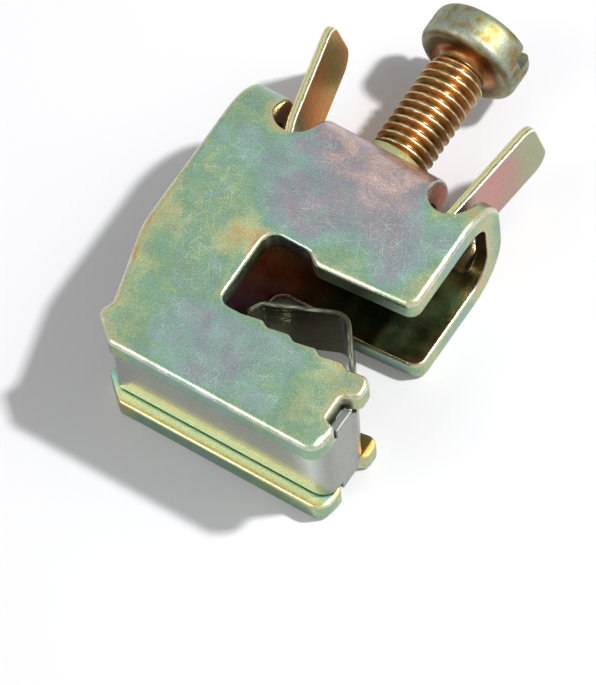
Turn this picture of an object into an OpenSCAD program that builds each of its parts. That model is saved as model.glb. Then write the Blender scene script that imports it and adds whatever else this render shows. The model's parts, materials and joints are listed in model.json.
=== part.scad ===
// Busbar conductor clamp: a folded sheet body with two cheeks, a slotted clamping screw,
// a pressure plate with two springy guide ears, and a retaining spring for the busbar slot.
// The part lies on its rear cheek. X runs along the ridge, Y up the screw, Z up from the rest face.
// The origin is on the rest face, straight below the screw axis.

/* [Folded body] */
// Outside distance over the two cheeks
body_depth = 12; // [11.5:0.1:14]
// Thickness of the folded sheet
sheet_t = 2.1; // [1.9:0.05:2.3]
// Inside radius of the two folds below the ridge
fold_r = 2.5; // [2.2:0.1:2.7]
// Screw axis to the closed side of the body
reach_left = 12; // [11.5:0.1:14]
// Screw axis to the open side of the body
reach_right = 10.2; // [9.8:0.1:12]
// Origin to the top of the ridge
ridge_up = 8.5; // [8.2:0.1:10]
// Bottom edge up to the start of the waist at the closed side
waist_up = 10.2; // [9.6:0.1:11]
// Depth of the waist at the closed side
waist_in = 1.85; // [1.7:0.05:2]
// Bottom edge up to the narrowest place of the waist
waist_low = 3.3; // [3:0.1:3.6]
// Closed side in to the corner of the foot below the waist
foot_in = 1.5; // [1.3:0.05:1.6]
// Bottom edge up to the corner of the foot
foot_up = 1.9; // [1.7:0.05:2.1]
// Closed side in to the straight bottom edge
bevel_in = 3.6; // [3.3:0.1:4]
// Outside diameter of the raised collar round the thread
collar_d = 5.6; // [5.5:0.1:6.6]
// Height of the collar above the ridge
collar_h = 0.5; // [0.3:0.1:1]

/* [Busbar slot] */
// Origin down to the inner end of the upper jaw
jaw_down = 4.5; // [4.2:0.1:5]
// Gap between the inner end of the upper jaw and the tooth tips
slot_gap = 6; // [5.6:0.1:7]
// Upward slope of the upper jaw toward the mouth, in degrees
jaw_rise = 4.3; // [2:0.1:5]
// Screw axis back to the closed wall of the slot
slot_back = 3.1; // [2.6:0.1:3.5]
// Height of the relief above the upper jaw at the closed wall
relief_h = 0.85; // [0.6:0.05:1.1]
// Length of the relief along the slot
relief_len = 3.6; // [3.2:0.1:4]
// Length of the ramp from the relief down to the upper jaw
ramp_len = 1.1; // [0.9:0.1:1.3]
// Closed wall of the slot to the first valley
valley_in = 2.05; // [1.9:0.05:2.2]
// Number of teeth on the lower jaw
tooth_count = 4; // [3:1:4]
// Distance between neighbouring teeth
tooth_pitch = 2.4; // [2.2:0.05:2.5]
// Depth of the valleys between teeth
tooth_depth = 0.35; // [0.2:0.05:0.5]
// Height of the lower arm from its bottom edge to the tooth tips
arm_h = 7.75; // [7.5:0.05:8.5]

/* [Hooks at the lower arm] */
// How far the upper hook stands out past the open side
hook_out = 0.6; // [0.4:0.05:0.9]
// How far the lower hook stays back from the upper one
hook_step = 0.2; // [0.1:0.05:0.3]
// How far the notch between the hooks cuts in from the open side
notch_in = 0.7; // [0.5:0.05:0.9]
// Bottom edge to the middle of the notch
notch_mid = 4.05; // [3.9:0.05:4.3]
// Height of the notch at its floor
notch_h = 2.15; // [2:0.05:2.4]
// Flare of the notch toward the upper hook
flare_up = 0.7; // [0.5:0.05:0.9]
// Flare of the notch toward the lower hook
flare_down = 0.35; // [0.2:0.05:0.5]

/* [Clamping screw] */
// Nominal thread diameter
screw_d = 5; // [4.8:0.1:5.2]
// Thread pitch
pitch = 0.8; // [0.7:0.05:0.9]
// Head diameter
head_d = 8.6; // [8.2:0.1:9.5]
// Head height
head_h = 3.3; // [3:0.1:3.6]
// Ridge to the underside of the head
screw_out = 10.6; // [10:0.1:12]
// Width of the screwdriver slot
drive_w = 1.3; // [1:0.1:1.6]
// Depth of the screwdriver slot
drive_depth = 1.6; // [1.2:0.1:1.8]
// Turn of the screwdriver slot away from the ridge, in degrees
drive_turn = 18; // [0:1:90]
// Diameter of the pin that hangs the pressure plate on the screw
pin_d = 3; // [2.6:0.1:3.2]
// Diameter of the riveted rim under the plate
rim_d = 4.2; // [3.8:0.1:4.4]

/* [Pressure plate] */
// Thickness of the plate
plate_t = 1.2; // [1:0.05:1.3]
// Ridge down to the top of the plate with the screw backed out
plate_down = 3.5; // [3.4:0.05:3.8]
// Screw axis to the root of each ear
ear_reach = 7.1; // [7:0.05:7.2]
// Thickness of each ear
ear_t = 0.7; // [0.6:0.05:0.8]
// Length of each ear from its root to its tip
ear_len = 13; // [11:0.1:13.2]
// Drop of the tip from the rear edge of an ear to its front edge
ear_slant = 1.6; // [0.8:0.1:2]
// Outward lean of the ear at the closed side, in degrees
lean_left = 13; // [10:0.5:13.5]
// Twist of the ear at the closed side about its own length, in degrees
twist_left = 4; // [0:0.5:5]
// Outward lean of the ear at the open side, in degrees
lean_right = 6.5; // [4:0.5:10]
// Width of the slot in the ridge for each ear
ear_slot_w = 3.5; // [3.4:0.05:3.7]
// Ridge down to the round lower end of the ear slots in the front cheek
ear_slot_drop = 4; // [3.9:0.05:4.2]

/* [Retaining spring] */
// Thickness of the spring strip
strip_t = 0.4; // [0.35:0.05:0.5]
// Height of the strip above the bottom edges of the cheeks
strip_up = 1.05; // [0.9:0.05:1.3]
// How far the upright end stands out past the open side
upright_out = 0.2; // [0.1:0.05:0.3]
// Closed side in to the free end of the strip
strip_in = 2.9; // [2.6:0.1:3.2]
// Bend radius between the strip and its upright end
strip_bend_r = 1.2; // [1:0.1:1.4]
// Strip's bottom face up to the fold of the leaf
fold_up = 4.6; // [4.4:0.05:4.8]
// Open side back to the crest of the leaf
crest_back = 5.1; // [4.8:0.1:5.4]
// Fold of the leaf up to its crest
crest_up = 7.05; // [6.6:0.05:7.2]
// Crest back to the lip at the free end
lip_back = 6.2; // [5.8:0.1:6.4]
// Drop from the crest to the lip
lip_drop = 2.6; // [2.3:0.1:2.9]
// Length along the slot of the turned-down lip
lip_out = 0.6; // [0.5:0.05:0.7]
// Height of the turned-down lip
lip_h = 1.15; // [1:0.05:1.3]
// How far the strip's lugs reach into the notches of the cheeks
lug_reach = 0.8; // [0.6:0.1:1.2]

/* [Clearances] */
// Radial gap between the screw and its hole in the body
thread_gap = 0.06; // [0.03:0.01:0.1]
// Radial gap between the pin and the pressure plate
pin_gap = 0.06; // [0.03:0.01:0.1]
// Gap along the screw on both sides of the pressure plate
end_gap = 0.1; // [0.05:0.05:0.15]
// Gap between an ear's root and the plate, and in the fold of the leaf
fold_gap = 0.2; // [0.16:0.01:0.25]
// Gap between the spring strip and each cheek, and between its lugs and the notches
side_gap = 0.2; // [0.15:0.05:0.3]
// Gap between the pressure plate with its ears and each cheek
plate_gap = 0.4; // [0.35:0.05:0.6]
// Gap between the leaf and each cheek
leaf_gap = 0.75; // [0.5:0.05:1]

/* [Hidden] */
$fn = 64;
corner_steps = 7;
mid_z = body_depth / 2;
inner_w = body_depth - 2 * sheet_t;
plate_w = inner_w - 2 * plate_gap;
leaf_w = inner_w - 2 * leaf_gap;
// Corner radii of the cut sheet
waist_r = 8;
corner_r = 0.4;
tooth_root_r = 0.5;
notch_r = 0.45;
toe_r = 0.75;
hook_r = 0.6;
wall_low_r = 0.9;
wall_top_r = 1.2;
jaw_r = 1;
// Levels along Y and places along X that several pieces share
jaw_y = -jaw_down;
tooth_y = jaw_y - slot_gap;
valley_y = tooth_y - tooth_depth;
bottom_y = tooth_y - arm_h;
notch_y = bottom_y + notch_mid;
wall_x = -slot_back;
hook_x = reach_right + hook_out;
first_valley_x = wall_x + valley_in;
tooth_run = 0.73 * tooth_pitch;
last_valley_x = first_valley_x + tooth_count * tooth_pitch;
jaw_in_x = wall_x + relief_len + ramp_len;
jaw_out_y = jaw_y + (reach_right - jaw_in_x) * tan(jaw_rise);
// Screw levels
head_y = ridge_up + screw_out;
plate_top_y = ridge_up - plate_down;
plate_mid_y = plate_top_y - plate_t / 2;
plate_low_y = plate_top_y - plate_t;
tip_y = plate_top_y + end_gap;
rim_y = plate_low_y - end_gap;
rim_h = 0.5;
rim_edge = 0.15;
head_edge = 0.3;
head_round = 0.6;
thread_depth = 0.613 * pitch;
neck_h = pitch;
thread_low_y = tip_y + pitch;
thread_turns = floor((head_y - neck_h - thread_low_y) / pitch);
// Ears and strip
root_r = 0.5;
ear_corner = 1.5;
strip_low_y = bottom_y + strip_up;
strip_mid_y = strip_low_y + strip_t / 2;
upright_x = reach_right + upright_out - strip_t / 2;
fold_x = upright_x;
fold_y = strip_low_y + fold_up;
crest_x = fold_x - crest_back;
crest_y = fold_y + crest_up;
lip_x = crest_x - lip_back;
lip_y = crest_y - lip_drop;
crest_r = 1.3;
lip_r = 0.6;

// Unit vector from point a to point b
function toward(a, b) = [b.x - a.x, b.y - a.y] / norm([b.x - a.x, b.y - a.y]);

// Points of the rounding at corner p between its neighbours a and b, each given as [x, y, radius]
function fillet(a, p, b) =
    let (u = toward(p, a))
    let (v = toward(p, b))
    let (half = acos(max(-1, min(1, u * v))) / 2)
    let (m = (u + v) / norm(u + v))
    let (c = [p.x, p.y] + m * p.z / sin(half))
    let (s = [p.x, p.y] + u * p.z / tan(half) - c)
    let (e = [p.x, p.y] + v * p.z / tan(half) - c)
    let (a0 = atan2(s.y, s.x))
    let (turn = atan2(s.x * e.y - s.y * e.x, s * e))
    [for (i = [0 : corner_steps]) c + p.z * [cos(a0 + turn * i / corner_steps), sin(a0 + turn * i / corner_steps)]];

// Closed outline with every corner rounded
function rounded(q) =
    let (n = len(q))
    [for (i = [0 : n - 1]) each q[i].z == 0 ? [[q[i].x, q[i].y]]
        : fillet(q[(i + n - 1) % n], q[i], q[(i + 1) % n])];

// Open line with its inner corners rounded
function rounded_line(q) =
    let (n = len(q))
    [for (i = [0 : n - 1]) each i == 0 || i == n - 1 ? [[q[i].x, q[i].y]]
        : fillet(q[i - 1], q[i], q[i + 1])];

// Outline of a strip of thickness t whose middle follows the line q
function strip_outline(q, t) =
    let (n = len(q))
    let (side = [for (i = [0 : n - 1])
        let (d = toward(q[max(i - 1, 0)], q[min(i + 1, n - 1)])) [-d.y, d.x] * t / 2])
    concat([for (i = [0 : n - 1]) q[i] + side[i]], [for (i = [n - 1 : -1 : 0]) q[i] - side[i]]);

// Lower jaw, from the mouth to the closed wall: a shallow saw of rounded teeth
function teeth() =
    concat([[last_valley_x, valley_y, tooth_root_r]],
        [for (i = [tooth_count - 1 : -1 : 0]) each [
            [first_valley_x + i * tooth_pitch + tooth_run, tooth_y, corner_r],
            [first_valley_x + i * tooth_pitch, valley_y, tooth_root_r]]]);

// Side view of both cheeks and the ridge, counterclockwise from the top of the closed side
function cheek_outline() = concat(
    [[-reach_left, ridge_up, corner_r],
     [-reach_left, bottom_y + waist_up, waist_r],
     [-reach_left + waist_in, bottom_y + waist_low, hook_r],
     [-reach_left + foot_in, bottom_y + foot_up, corner_r],
     [-reach_left + bevel_in, bottom_y, hook_r],
     [hook_x - hook_step, bottom_y, toe_r],
     [hook_x - hook_step, notch_y - notch_h / 2 - flare_down, corner_r],
     [reach_right - notch_in, notch_y - notch_h / 2, notch_r],
     [reach_right - notch_in, notch_y + notch_h / 2, notch_r],
     [hook_x, notch_y + notch_h / 2 + flare_up, corner_r],
     [hook_x, tooth_y, hook_r]],
    teeth(),
    [[wall_x, valley_y, wall_low_r],
     [wall_x, jaw_y + relief_h, wall_top_r],
     [wall_x + relief_len, jaw_y + relief_h, jaw_r],
     [jaw_in_x, jaw_y, jaw_r],
     [reach_right, jaw_out_y, jaw_r],
     [reach_right, ridge_up, corner_r]]);

// Section across the ridge: one arch, inset from the outside by d
module arch(d, r) {
    low = bottom_y - 2;
    translate([d, low])
        square([body_depth - 2 * d, ridge_up - d - r - low]);
    translate([d + r, low])
        square([body_depth - 2 * d - 2 * r, ridge_up - d - low]);
    for (a = [d + r, body_depth - d - r])
        translate([a, ridge_up - d - r])
            circle(r);
}

// Open-topped slot with a round lower end, for one ear, cut from the front and over the ridge
module ear_slot() {
    lower = ridge_up - ear_slot_drop + ear_slot_w / 2;
    translate([0, lower])
        circle(d = ear_slot_w);
    translate([-ear_slot_w / 2, lower])
        square([ear_slot_w, ear_slot_drop + collar_h]);
}

// Cylinder standing along Y from level y
module post(d, y, h) {
    translate([0, y, mid_z])
        rotate([-90, 0, 0])
            cylinder(d = d, h = h);
}

// One sheet folded over the ridge, cut to the cheek outline, with the threaded collar
module clamp_body() {
    color("#a9b79a")
    difference() {
        union() {
            intersection() {
                linear_extrude(body_depth)
                    polygon(rounded(cheek_outline()));
                translate([-reach_left - 1, 0, body_depth])
                    rotate([0, 90, 0])
                        linear_extrude(reach_left + hook_x + 2)
                            difference() {
                                arch(0, fold_r + sheet_t);
                                arch(sheet_t, fold_r);
                            }
            }
            post(collar_d, ridge_up - sheet_t / 2, sheet_t / 2 + collar_h);
        }
        for (s = [-1, 1])
            translate([s * ear_reach, 0, sheet_t])
                linear_extrude(body_depth)
                    ear_slot();
        post(screw_d + 2 * thread_gap, ridge_up - sheet_t - fold_r, sheet_t + fold_r + collar_h + 1);
    }
}

// Half section of the screw: radius and level, from the riveted rim up to the head
function screw_section() = concat(
    [[0, rim_y - rim_h], [rim_d / 2 - rim_edge, rim_y - rim_h], [rim_d / 2, rim_y - rim_h + rim_edge],
     [rim_d / 2, rim_y], [pin_d / 2, rim_y], [pin_d / 2, tip_y],
     [screw_d / 2 - thread_depth, tip_y]],
    [for (i = [0 : thread_turns - 1]) each [
        [screw_d / 2 - thread_depth, thread_low_y + i * pitch],
        [screw_d / 2, thread_low_y + (i + 0.3125) * pitch],
        [screw_d / 2, thread_low_y + (i + 0.4375) * pitch],
        [screw_d / 2 - thread_depth, thread_low_y + (i + 0.75) * pitch]]],
    [[screw_d / 2 - thread_depth, head_y - head_edge],
     [screw_d / 2 - thread_depth + head_edge, head_y],
     [head_d / 2 - head_edge, head_y],
     [head_d / 2, head_y + head_edge],
     [head_d / 2, head_y + head_h - head_round],
     [head_d / 2 - head_round, head_y + head_h],
     [0, head_y + head_h]]);

// Slotted cheese-head screw; ring grooves stand for the thread
module clamping_screw() {
    color("#9a7440")
    difference() {
        translate([0, 0, mid_z])
            rotate([-90, 0, 0])
                rotate_extrude()
                    polygon(screw_section());
        translate([0, head_y + head_h - drive_depth, mid_z])
            rotate([0, -drive_turn, 0])
                translate([-head_d, 0, -drive_w / 2])
                    cube([2 * head_d, drive_depth + 1, drive_w]);
    }
}

// Flat plate under the screw, with the hole for the riveted pin
module pressure_plate() {
    half = ear_reach - root_r - fold_gap;
    color("#b09a5c")
    difference() {
        translate([-half, plate_low_y, mid_z - plate_w / 2])
            cube([2 * half, plate_t, plate_w]);
        post(pin_d + 2 * pin_gap, plate_low_y - 1, plate_t + 2);
    }
}

// Flat blank of one ear: Y along its length, Z across, the tip falling toward the front edge
module ear(lean, twist) {
    w = plate_w / 2;
    rotate([0, 0, lean]) {
        rotate([0, twist, 0])
            translate([-ear_t / 2, 0, 0])
                rotate([0, 90, 0])
                    linear_extrude(ear_t)
                        polygon(rounded([[-w, 0, 0], [w, 0, 0], [w, ear_len, ear_corner],
                                         [-w, ear_len - ear_slant, ear_corner]]));
        translate([0, 0, -w])
            cylinder(r = root_r, h = plate_w);
    }
}

// Springy ear at the closed side
module left_ear() {
    color("#b08a50")
    translate([-ear_reach, plate_mid_y, mid_z])
        ear(lean_left, -twist_left);
}

// Springy ear at the open side
module right_ear() {
    color("#b5938a")
    translate([ear_reach, plate_mid_y, mid_z])
        ear(-lean_right, 0);
}

// Strip along the bottom between the cheeks, turned up at the open side
module spring_base() {
    w = inner_w - 2 * side_gap;
    line = rounded_line([[-reach_left + strip_in, strip_mid_y, 0], [upright_x, strip_mid_y, strip_bend_r],
                         [upright_x, fold_y - strip_t / 2 - fold_gap, 0]]);
    color("#b9b9b4") {
        translate([0, 0, mid_z - w / 2])
            linear_extrude(w)
                polygon(strip_outline(line, strip_t));
        // Lugs that sit in the notches between the hooks
        translate([upright_x - strip_t / 2, notch_y - notch_h / 2 + side_gap, sheet_t - lug_reach])
            cube([strip_t, notch_h - 2 * side_gap, inner_w + 2 * lug_reach]);
    }
}

// Leaf that rises across the busbar slot and gives way to the bar
module spring_leaf() {
    line = rounded_line([[fold_x, fold_y, 0], [crest_x, crest_y, crest_r], [lip_x, lip_y, lip_r],
                         [lip_x - lip_out, lip_y - lip_h, 0]]);
    color("#c4c4be")
    translate([0, 0, mid_z - leaf_w / 2]) {
        linear_extrude(leaf_w)
            polygon(strip_outline(line, strip_t));
        translate([fold_x, fold_y, 0])
            cylinder(d = strip_t, h = leaf_w);
    }
}

clamp_body();
clamping_screw();
pressure_plate();
left_ear();
right_ear();
spring_base();
spring_leaf();
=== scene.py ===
# %% [markdown]
# A busbar clamp is a small folded-steel terminal. It hooks over the edge of a flat copper bar,
# and a screw presses a wire against the bar. The solids of the frame give its size and motion.
# This lesson dresses them: punched sheet with rolled edges, a true screw thread, bent spring
# strip, and the rainbow-yellow finish of chromated zinc.

# %% Load the frame
import json

import bmesh
import bpy
import numpy as np
from mathutils import Matrix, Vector
from mathutils.geometry import delaunay_2d_cdt


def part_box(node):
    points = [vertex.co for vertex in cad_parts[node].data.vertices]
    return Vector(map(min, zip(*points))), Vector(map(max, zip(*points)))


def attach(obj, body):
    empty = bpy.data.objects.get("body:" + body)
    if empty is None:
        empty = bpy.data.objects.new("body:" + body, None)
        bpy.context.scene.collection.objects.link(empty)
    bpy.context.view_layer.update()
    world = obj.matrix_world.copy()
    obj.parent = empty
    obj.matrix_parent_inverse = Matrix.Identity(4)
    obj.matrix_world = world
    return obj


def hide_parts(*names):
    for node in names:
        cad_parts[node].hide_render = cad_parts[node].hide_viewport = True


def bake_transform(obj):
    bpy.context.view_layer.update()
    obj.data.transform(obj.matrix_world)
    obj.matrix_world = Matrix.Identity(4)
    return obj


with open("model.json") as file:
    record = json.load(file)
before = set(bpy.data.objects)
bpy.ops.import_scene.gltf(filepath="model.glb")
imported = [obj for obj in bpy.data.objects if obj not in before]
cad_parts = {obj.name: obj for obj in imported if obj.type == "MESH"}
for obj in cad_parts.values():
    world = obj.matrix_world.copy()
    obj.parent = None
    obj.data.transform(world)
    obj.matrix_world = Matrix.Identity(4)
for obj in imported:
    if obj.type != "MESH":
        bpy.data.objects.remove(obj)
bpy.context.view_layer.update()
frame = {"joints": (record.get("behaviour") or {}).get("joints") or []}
MM = 0.001


def box_mm(node):
    """Lowest and highest corner of a node of the frame, in millimetres."""
    return [np.array(corner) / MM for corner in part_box(node)]


def joint_mm(name):
    """Place of a joint of the frame, in millimetres."""
    return np.array([joint["pos_m"] for joint in frame["joints"] if joint["name"] == name][0]) / MM


# %% [markdown]
# The camera stands where the photographer stood: high in front of the open side, with a long lens
# that keeps parallel edges nearly parallel. Three angles turn it and one scale sets the lens, so
# no number has to be found by dragging the camera about.

# %% Camera
IMAGE_W = 596
PIXELS_PER_MM = 12.801
CAMERA_FAR_MM = 600.0
AZIMUTH, ELEVATION, ROLL = np.radians((39.247, 61.532, -7.383))
LOOK_AT_MM = np.array((0.007, -5.807, 0.0))

flat_right = np.array((np.cos(AZIMUTH), np.sin(AZIMUTH), 0.0))
toward_camera = np.array((np.sin(AZIMUTH) * np.cos(ELEVATION),
                          -np.cos(AZIMUTH) * np.cos(ELEVATION),
                          np.sin(ELEVATION)))
flat_up = np.cross(toward_camera, flat_right)
right = np.cos(ROLL) * flat_right + np.sin(ROLL) * flat_up
up = np.cross(toward_camera, right)

camera_data = bpy.data.cameras.new("photo_camera")
camera_data.sensor_fit = "HORIZONTAL"
camera_data.lens = camera_data.sensor_width * PIXELS_PER_MM * CAMERA_FAR_MM / IMAGE_W
camera = bpy.data.objects.new("photo_camera", camera_data)
place = np.eye(4)
place[:3, :3] = np.stack((right, up, toward_camera), axis=1)
place[:3, 3] = (LOOK_AT_MM + CAMERA_FAR_MM * toward_camera) * MM
camera.matrix_world = Matrix(place.tolist())
bpy.context.scene.collection.objects.link(camera)
bpy.context.scene.camera = camera
bpy.context.scene.view_settings.view_transform = "Standard"
print("lens", round(camera_data.lens, 1), "mm")

# %% [markdown]
# Colours are written as sRGB hex, as a paint chart gives them, and one function turns them into
# the linear values that a shader wants. One more function adds a node, with its settings, its
# values and its links, so a material reads from top to bottom like a recipe. Nodes could be drawn
# by hand in the editor, but a recipe in text can be read, searched and repeated.

# %% Colour and node helpers
def colour(hex_code):
    """sRGB hex to linear RGBA: each channel over 0.04045 is ((c + 0.055) / 1.055) to the power 2.4."""
    channels = np.array([int(hex_code[i:i + 2], 16) for i in (1, 3, 5)]) / 255
    linear = np.where(channels > 0.04045, ((channels + 0.055) / 1.055) ** 2.4, channels / 12.92)
    return (*linear.tolist(), 1.0)


def add(tree, kind, inputs=None, stops=None, **settings):
    """Adds one shader node. An input is a value, a socket, or a node whose first live output is linked,
    and stops fill a colour ramp. On a Mix node the inputs 2 and 3 are numbers, 6 and 7 are colours."""
    made = tree.nodes.new("ShaderNode" + kind)
    for name, value in settings.items():
        setattr(made, name, value)
    for key, value in (inputs or {}).items():
        if isinstance(value, bpy.types.Node):
            value = next(socket for socket in value.outputs if socket.enabled)
        if isinstance(value, bpy.types.NodeSocket):
            tree.links.new(value, made.inputs[key])
        else:
            made.inputs[key].default_value = value
    if stops:
        elements = made.color_ramp.elements
        while len(elements) < len(stops):
            elements.new(0.5)
        for element, (position, tint) in zip(elements, stops):
            element.position = position
            element.color = colour(tint)
    return made


def new_material(name):
    """An empty node material, and the tree to fill."""
    material = bpy.data.materials.new(name)
    material.use_nodes = True
    tree = material.node_tree
    tree.nodes.clear()
    return material, tree


print("white is", colour("#ffffff")[:3])

# %% [markdown]
# The clamp lies on white paper. Paper could be lit until it burns out, but then the metal would
# burn out too. So the paper is a mid-grey diffuse sheet that catches the shadow, plus a little
# glow that only the eye and the mirrors of the metal see.

# %% Paper
FLOOR_HALF = 1.5
PAPER_LOW = -0.01 * MM
PAPER = "#c0c0c2"
PAPER_GLOW = 0.1

paper_mesh = bpy.data.meshes.new("paper")
corners = np.array([(-1, -1), (1, -1), (1, 1), (-1, 1)]) * FLOOR_HALF
paper_mesh.from_pydata(np.c_[corners, np.full(4, PAPER_LOW)].tolist(), [], [(0, 1, 2, 3)])
paper = bpy.data.objects.new("paper", paper_mesh)
bpy.context.scene.collection.objects.link(paper)

# Paper scatters light evenly, so it gives the eye a soft shadow and no gloss.
paper_material, tree = new_material("Matt white paper")
ray = add(tree, "LightPath").outputs
seen = add(tree, "Math", {0: ray["Is Camera Ray"], 1: ray["Is Glossy Ray"]}, operation="MAXIMUM")
glow = add(tree, "Math", {0: seen, 1: PAPER_GLOW}, operation="MULTIPLY")
lit = add(tree, "BsdfDiffuse", {"Color": colour(PAPER)})
shine = add(tree, "Emission", {"Strength": glow})
both = add(tree, "AddShader", {0: lit, 1: shine})
add(tree, "OutputMaterial", {"Surface": both})
paper_mesh.materials.append(paper_material)
print("paper of", 2 * FLOOR_HALF, "m")

# %% [markdown]
# A small key lamp at the upper right draws the shadow. A wide lamp in front puts a bright line on
# the rolled lower edges, and a second wide one beside the key softens the shadow's rim. Pale light
# comes from all round. One bright sky could do it alone, but it would leave no shadow and no lines.

# %% Lamps and sky
LAMP_FAR = 0.6
SKY = 0.34
SKY_IN_METAL = 0.85


def soft_lamp(name, from_direction, width, watts):
    """Square lamp at the common distance, with its own Z axis turned back along the direction."""
    data = bpy.data.lights.new(name, "AREA")
    data.size = width
    data.energy = watts
    lamp = bpy.data.objects.new(name, data)
    bpy.context.scene.collection.objects.link(lamp)
    axis = np.array(from_direction) / np.linalg.norm(from_direction)
    side = np.cross((0, 0, 1), axis)
    side = side / np.linalg.norm(side)
    place = np.eye(4)
    place[:3, :3] = np.stack((side, np.cross(axis, side), axis), axis=1)
    place[:3, 3] = axis * LAMP_FAR
    lamp.matrix_world = Matrix(place.tolist())


soft_lamp("key_lamp", (4.4, 3.2, 8.0), 0.04, 4.9)
soft_lamp("front_fill", (-4.0, -6.6, 6.4), 0.36, 1.1)
soft_lamp("side_fill", (6.1, 3.7, 7.0), 0.3, 0.6)

world = bpy.data.worlds.new("studio")
bpy.context.scene.world = world
world.use_nodes = True
tree = world.node_tree
tree.nodes.clear()
ray = add(tree, "LightPath").outputs
mirrored = add(tree, "Mix", {0: ray["Is Glossy Ray"], 2: SKY, 3: SKY_IN_METAL})
level = add(tree, "Mix", {0: ray["Is Camera Ray"], 2: mirrored, 3: 1.0})
sky = add(tree, "Background", {"Color": colour("#ffffff"), "Strength": level})
add(tree, "OutputWorld", {"Surface": sky})
print("sky", SKY, "for paper and", SKY_IN_METAL, "in the metal")

# %% [markdown]
# Every sheet piece of the clamp was punched from flat stock and then bent. The lesson does the
# same: draw the blank's outline, round its edges as a punch does, fill both faces with triangles,
# and bend the whole blank into place. A modifier could bevel a finished solid, but its many short
# edges would tear, and a blank gives each point its distance from the cut edge, which the finish
# needs later. The outline comes first: a few corners, each with its radius.

# %% Rounded outlines
def rounded_line(corner_rows, steps=8):
    """Line through corners (x, y, radius) with an arc at each inner corner: the arc's centre lies on
    the corner's bisector at radius / sin(half angle), and the arc runs between the tangent points."""
    rows = np.asarray(corner_rows, float)
    corner, radius = rows[1:-1, :2], rows[1:-1, 2:]
    back = rows[:-2, :2] - corner
    ahead = rows[2:, :2] - corner
    back /= np.linalg.norm(back, axis=1, keepdims=True)
    ahead /= np.linalg.norm(ahead, axis=1, keepdims=True)
    half = np.arccos(np.clip((back * ahead).sum(1, keepdims=True), -1, 1)) / 2
    middle = back + ahead
    middle /= np.linalg.norm(middle, axis=1, keepdims=True)
    centre = corner + middle * radius / np.sin(half)
    first = corner + back * radius / np.tan(half) - centre
    last = corner + ahead * radius / np.tan(half) - centre
    start = np.arctan2(first[:, 1], first[:, 0])
    turn = np.arctan2(first[:, 0] * last[:, 1] - first[:, 1] * last[:, 0], (first * last).sum(1))
    angle = start[:, None] + turn[:, None] * np.linspace(0, 1, steps + 1)
    arcs = centre[:, None] + radius[:, None] * np.stack((np.cos(angle), np.sin(angle)), -1)
    return np.vstack((rows[:1, :2], arcs.reshape(-1, 2), rows[-1:, :2]))


def rounded_loop(corner_rows, steps=8):
    """Closed outline with every corner rounded: the line is wrapped once round and its ends dropped."""
    rows = np.asarray(corner_rows, float)
    return rounded_line(np.vstack((rows[-1:], rows, rows[:1])), steps)[1:-1]


def spaced(loop, gap):
    """Closed loop whose long sides are split into equal steps no longer than gap."""
    ahead = np.roll(loop, -1, axis=0) - loop
    count = np.maximum(1, np.ceil(np.linalg.norm(ahead, axis=1) / gap)).astype(int)
    side_of = np.repeat(np.arange(len(loop)), count)
    share = (np.arange(count.sum()) - np.repeat(np.cumsum(count) - count, count)) / count[side_of]
    return loop[side_of] + ahead[side_of] * share[:, None]


square = rounded_loop([(0, 0, 1), (9, 0, 1), (9, 9, 1), (0, 9, 1)])
print("a square's rounded outline has", len(square), "points")

# %% [markdown]
# A punch rolls the edge of the sheet where it goes in. How wide the roll can be depends on the
# outline: at a tight outward corner a wide roll would cross itself. So the wanted radius is cut
# down near such corners and blended along the loop.

# %% Room for a rolled edge
CORNER_SHARE, CORNER_LESS = 0.8, 0.06
LEAST_ROLL = 0.05
BLEND_MM = 0.7


def into_material(loop, hole):
    """Unit normals of a closed loop that point into the sheet: left of a counterclockwise outline,
    right of it for a hole."""
    ahead = np.roll(loop, -1, axis=0) - np.roll(loop, 1, axis=0)
    ahead /= np.linalg.norm(ahead, axis=1, keepdims=True)
    left = np.stack((-ahead[:, 1], ahead[:, 0]), -1)
    nearby = np.roll(loop, -1, axis=0)
    area = (loop[:, 0] * nearby[:, 1] - loop[:, 1] * nearby[:, 0]).sum()
    return left * (np.sign(area) * (-1 if hole else 1))


def smooth_step(x):
    """0 below 0, 1 above 1, and 3 x squared less 2 x cubed between."""
    x = np.clip(x, 0, 1)
    return x * x * (3 - 2 * x)


def roll_room(loop, normal, roll):
    """Radius of the rolled edge at each point: the wanted one, but less than the corner's own radius at
    outward corners and near them, averaged with weights exp(-(distance / blend length) squared)."""
    step = np.linalg.norm(np.roll(loop, -1, axis=0) - loop, axis=1)
    swing = np.roll(normal, -1, axis=0) - np.roll(normal, 1, axis=0)
    ahead = np.roll(loop, -1, axis=0) - np.roll(loop, 1, axis=0)
    tight = -(swing * ahead).sum(1) / (ahead * ahead).sum(1)
    limit = CORNER_SHARE / np.maximum(tight, 1e-6) - CORNER_LESS
    room = np.clip(np.where(tight > 1e-6, limit, roll), LEAST_ROLL, roll)
    along = np.cumsum(step) - step
    away = np.abs(along[:, None] - along)
    away = np.minimum(away, step.sum() - away)
    room = np.where(away < BLEND_MM, room, np.inf).min(1)
    weight = np.exp(-(away / BLEND_MM) ** 2) * step
    return np.minimum((weight @ room) / weight.sum(1), room)


square_room = roll_room(square, into_material(square, hole=False), np.full(len(square), 2.0))
print("a roll of 2 mm shrinks to", square_room.min().round(2), "mm at a corner of 1 mm")

# %% [markdown]
# A mesh is points and faces, handed over as whole arrays. Each piece also keeps a few numbers per
# point, such as the distance from the nearest edge. A finish can read them later, where a painted
# texture would need a map of the surface.

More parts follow.
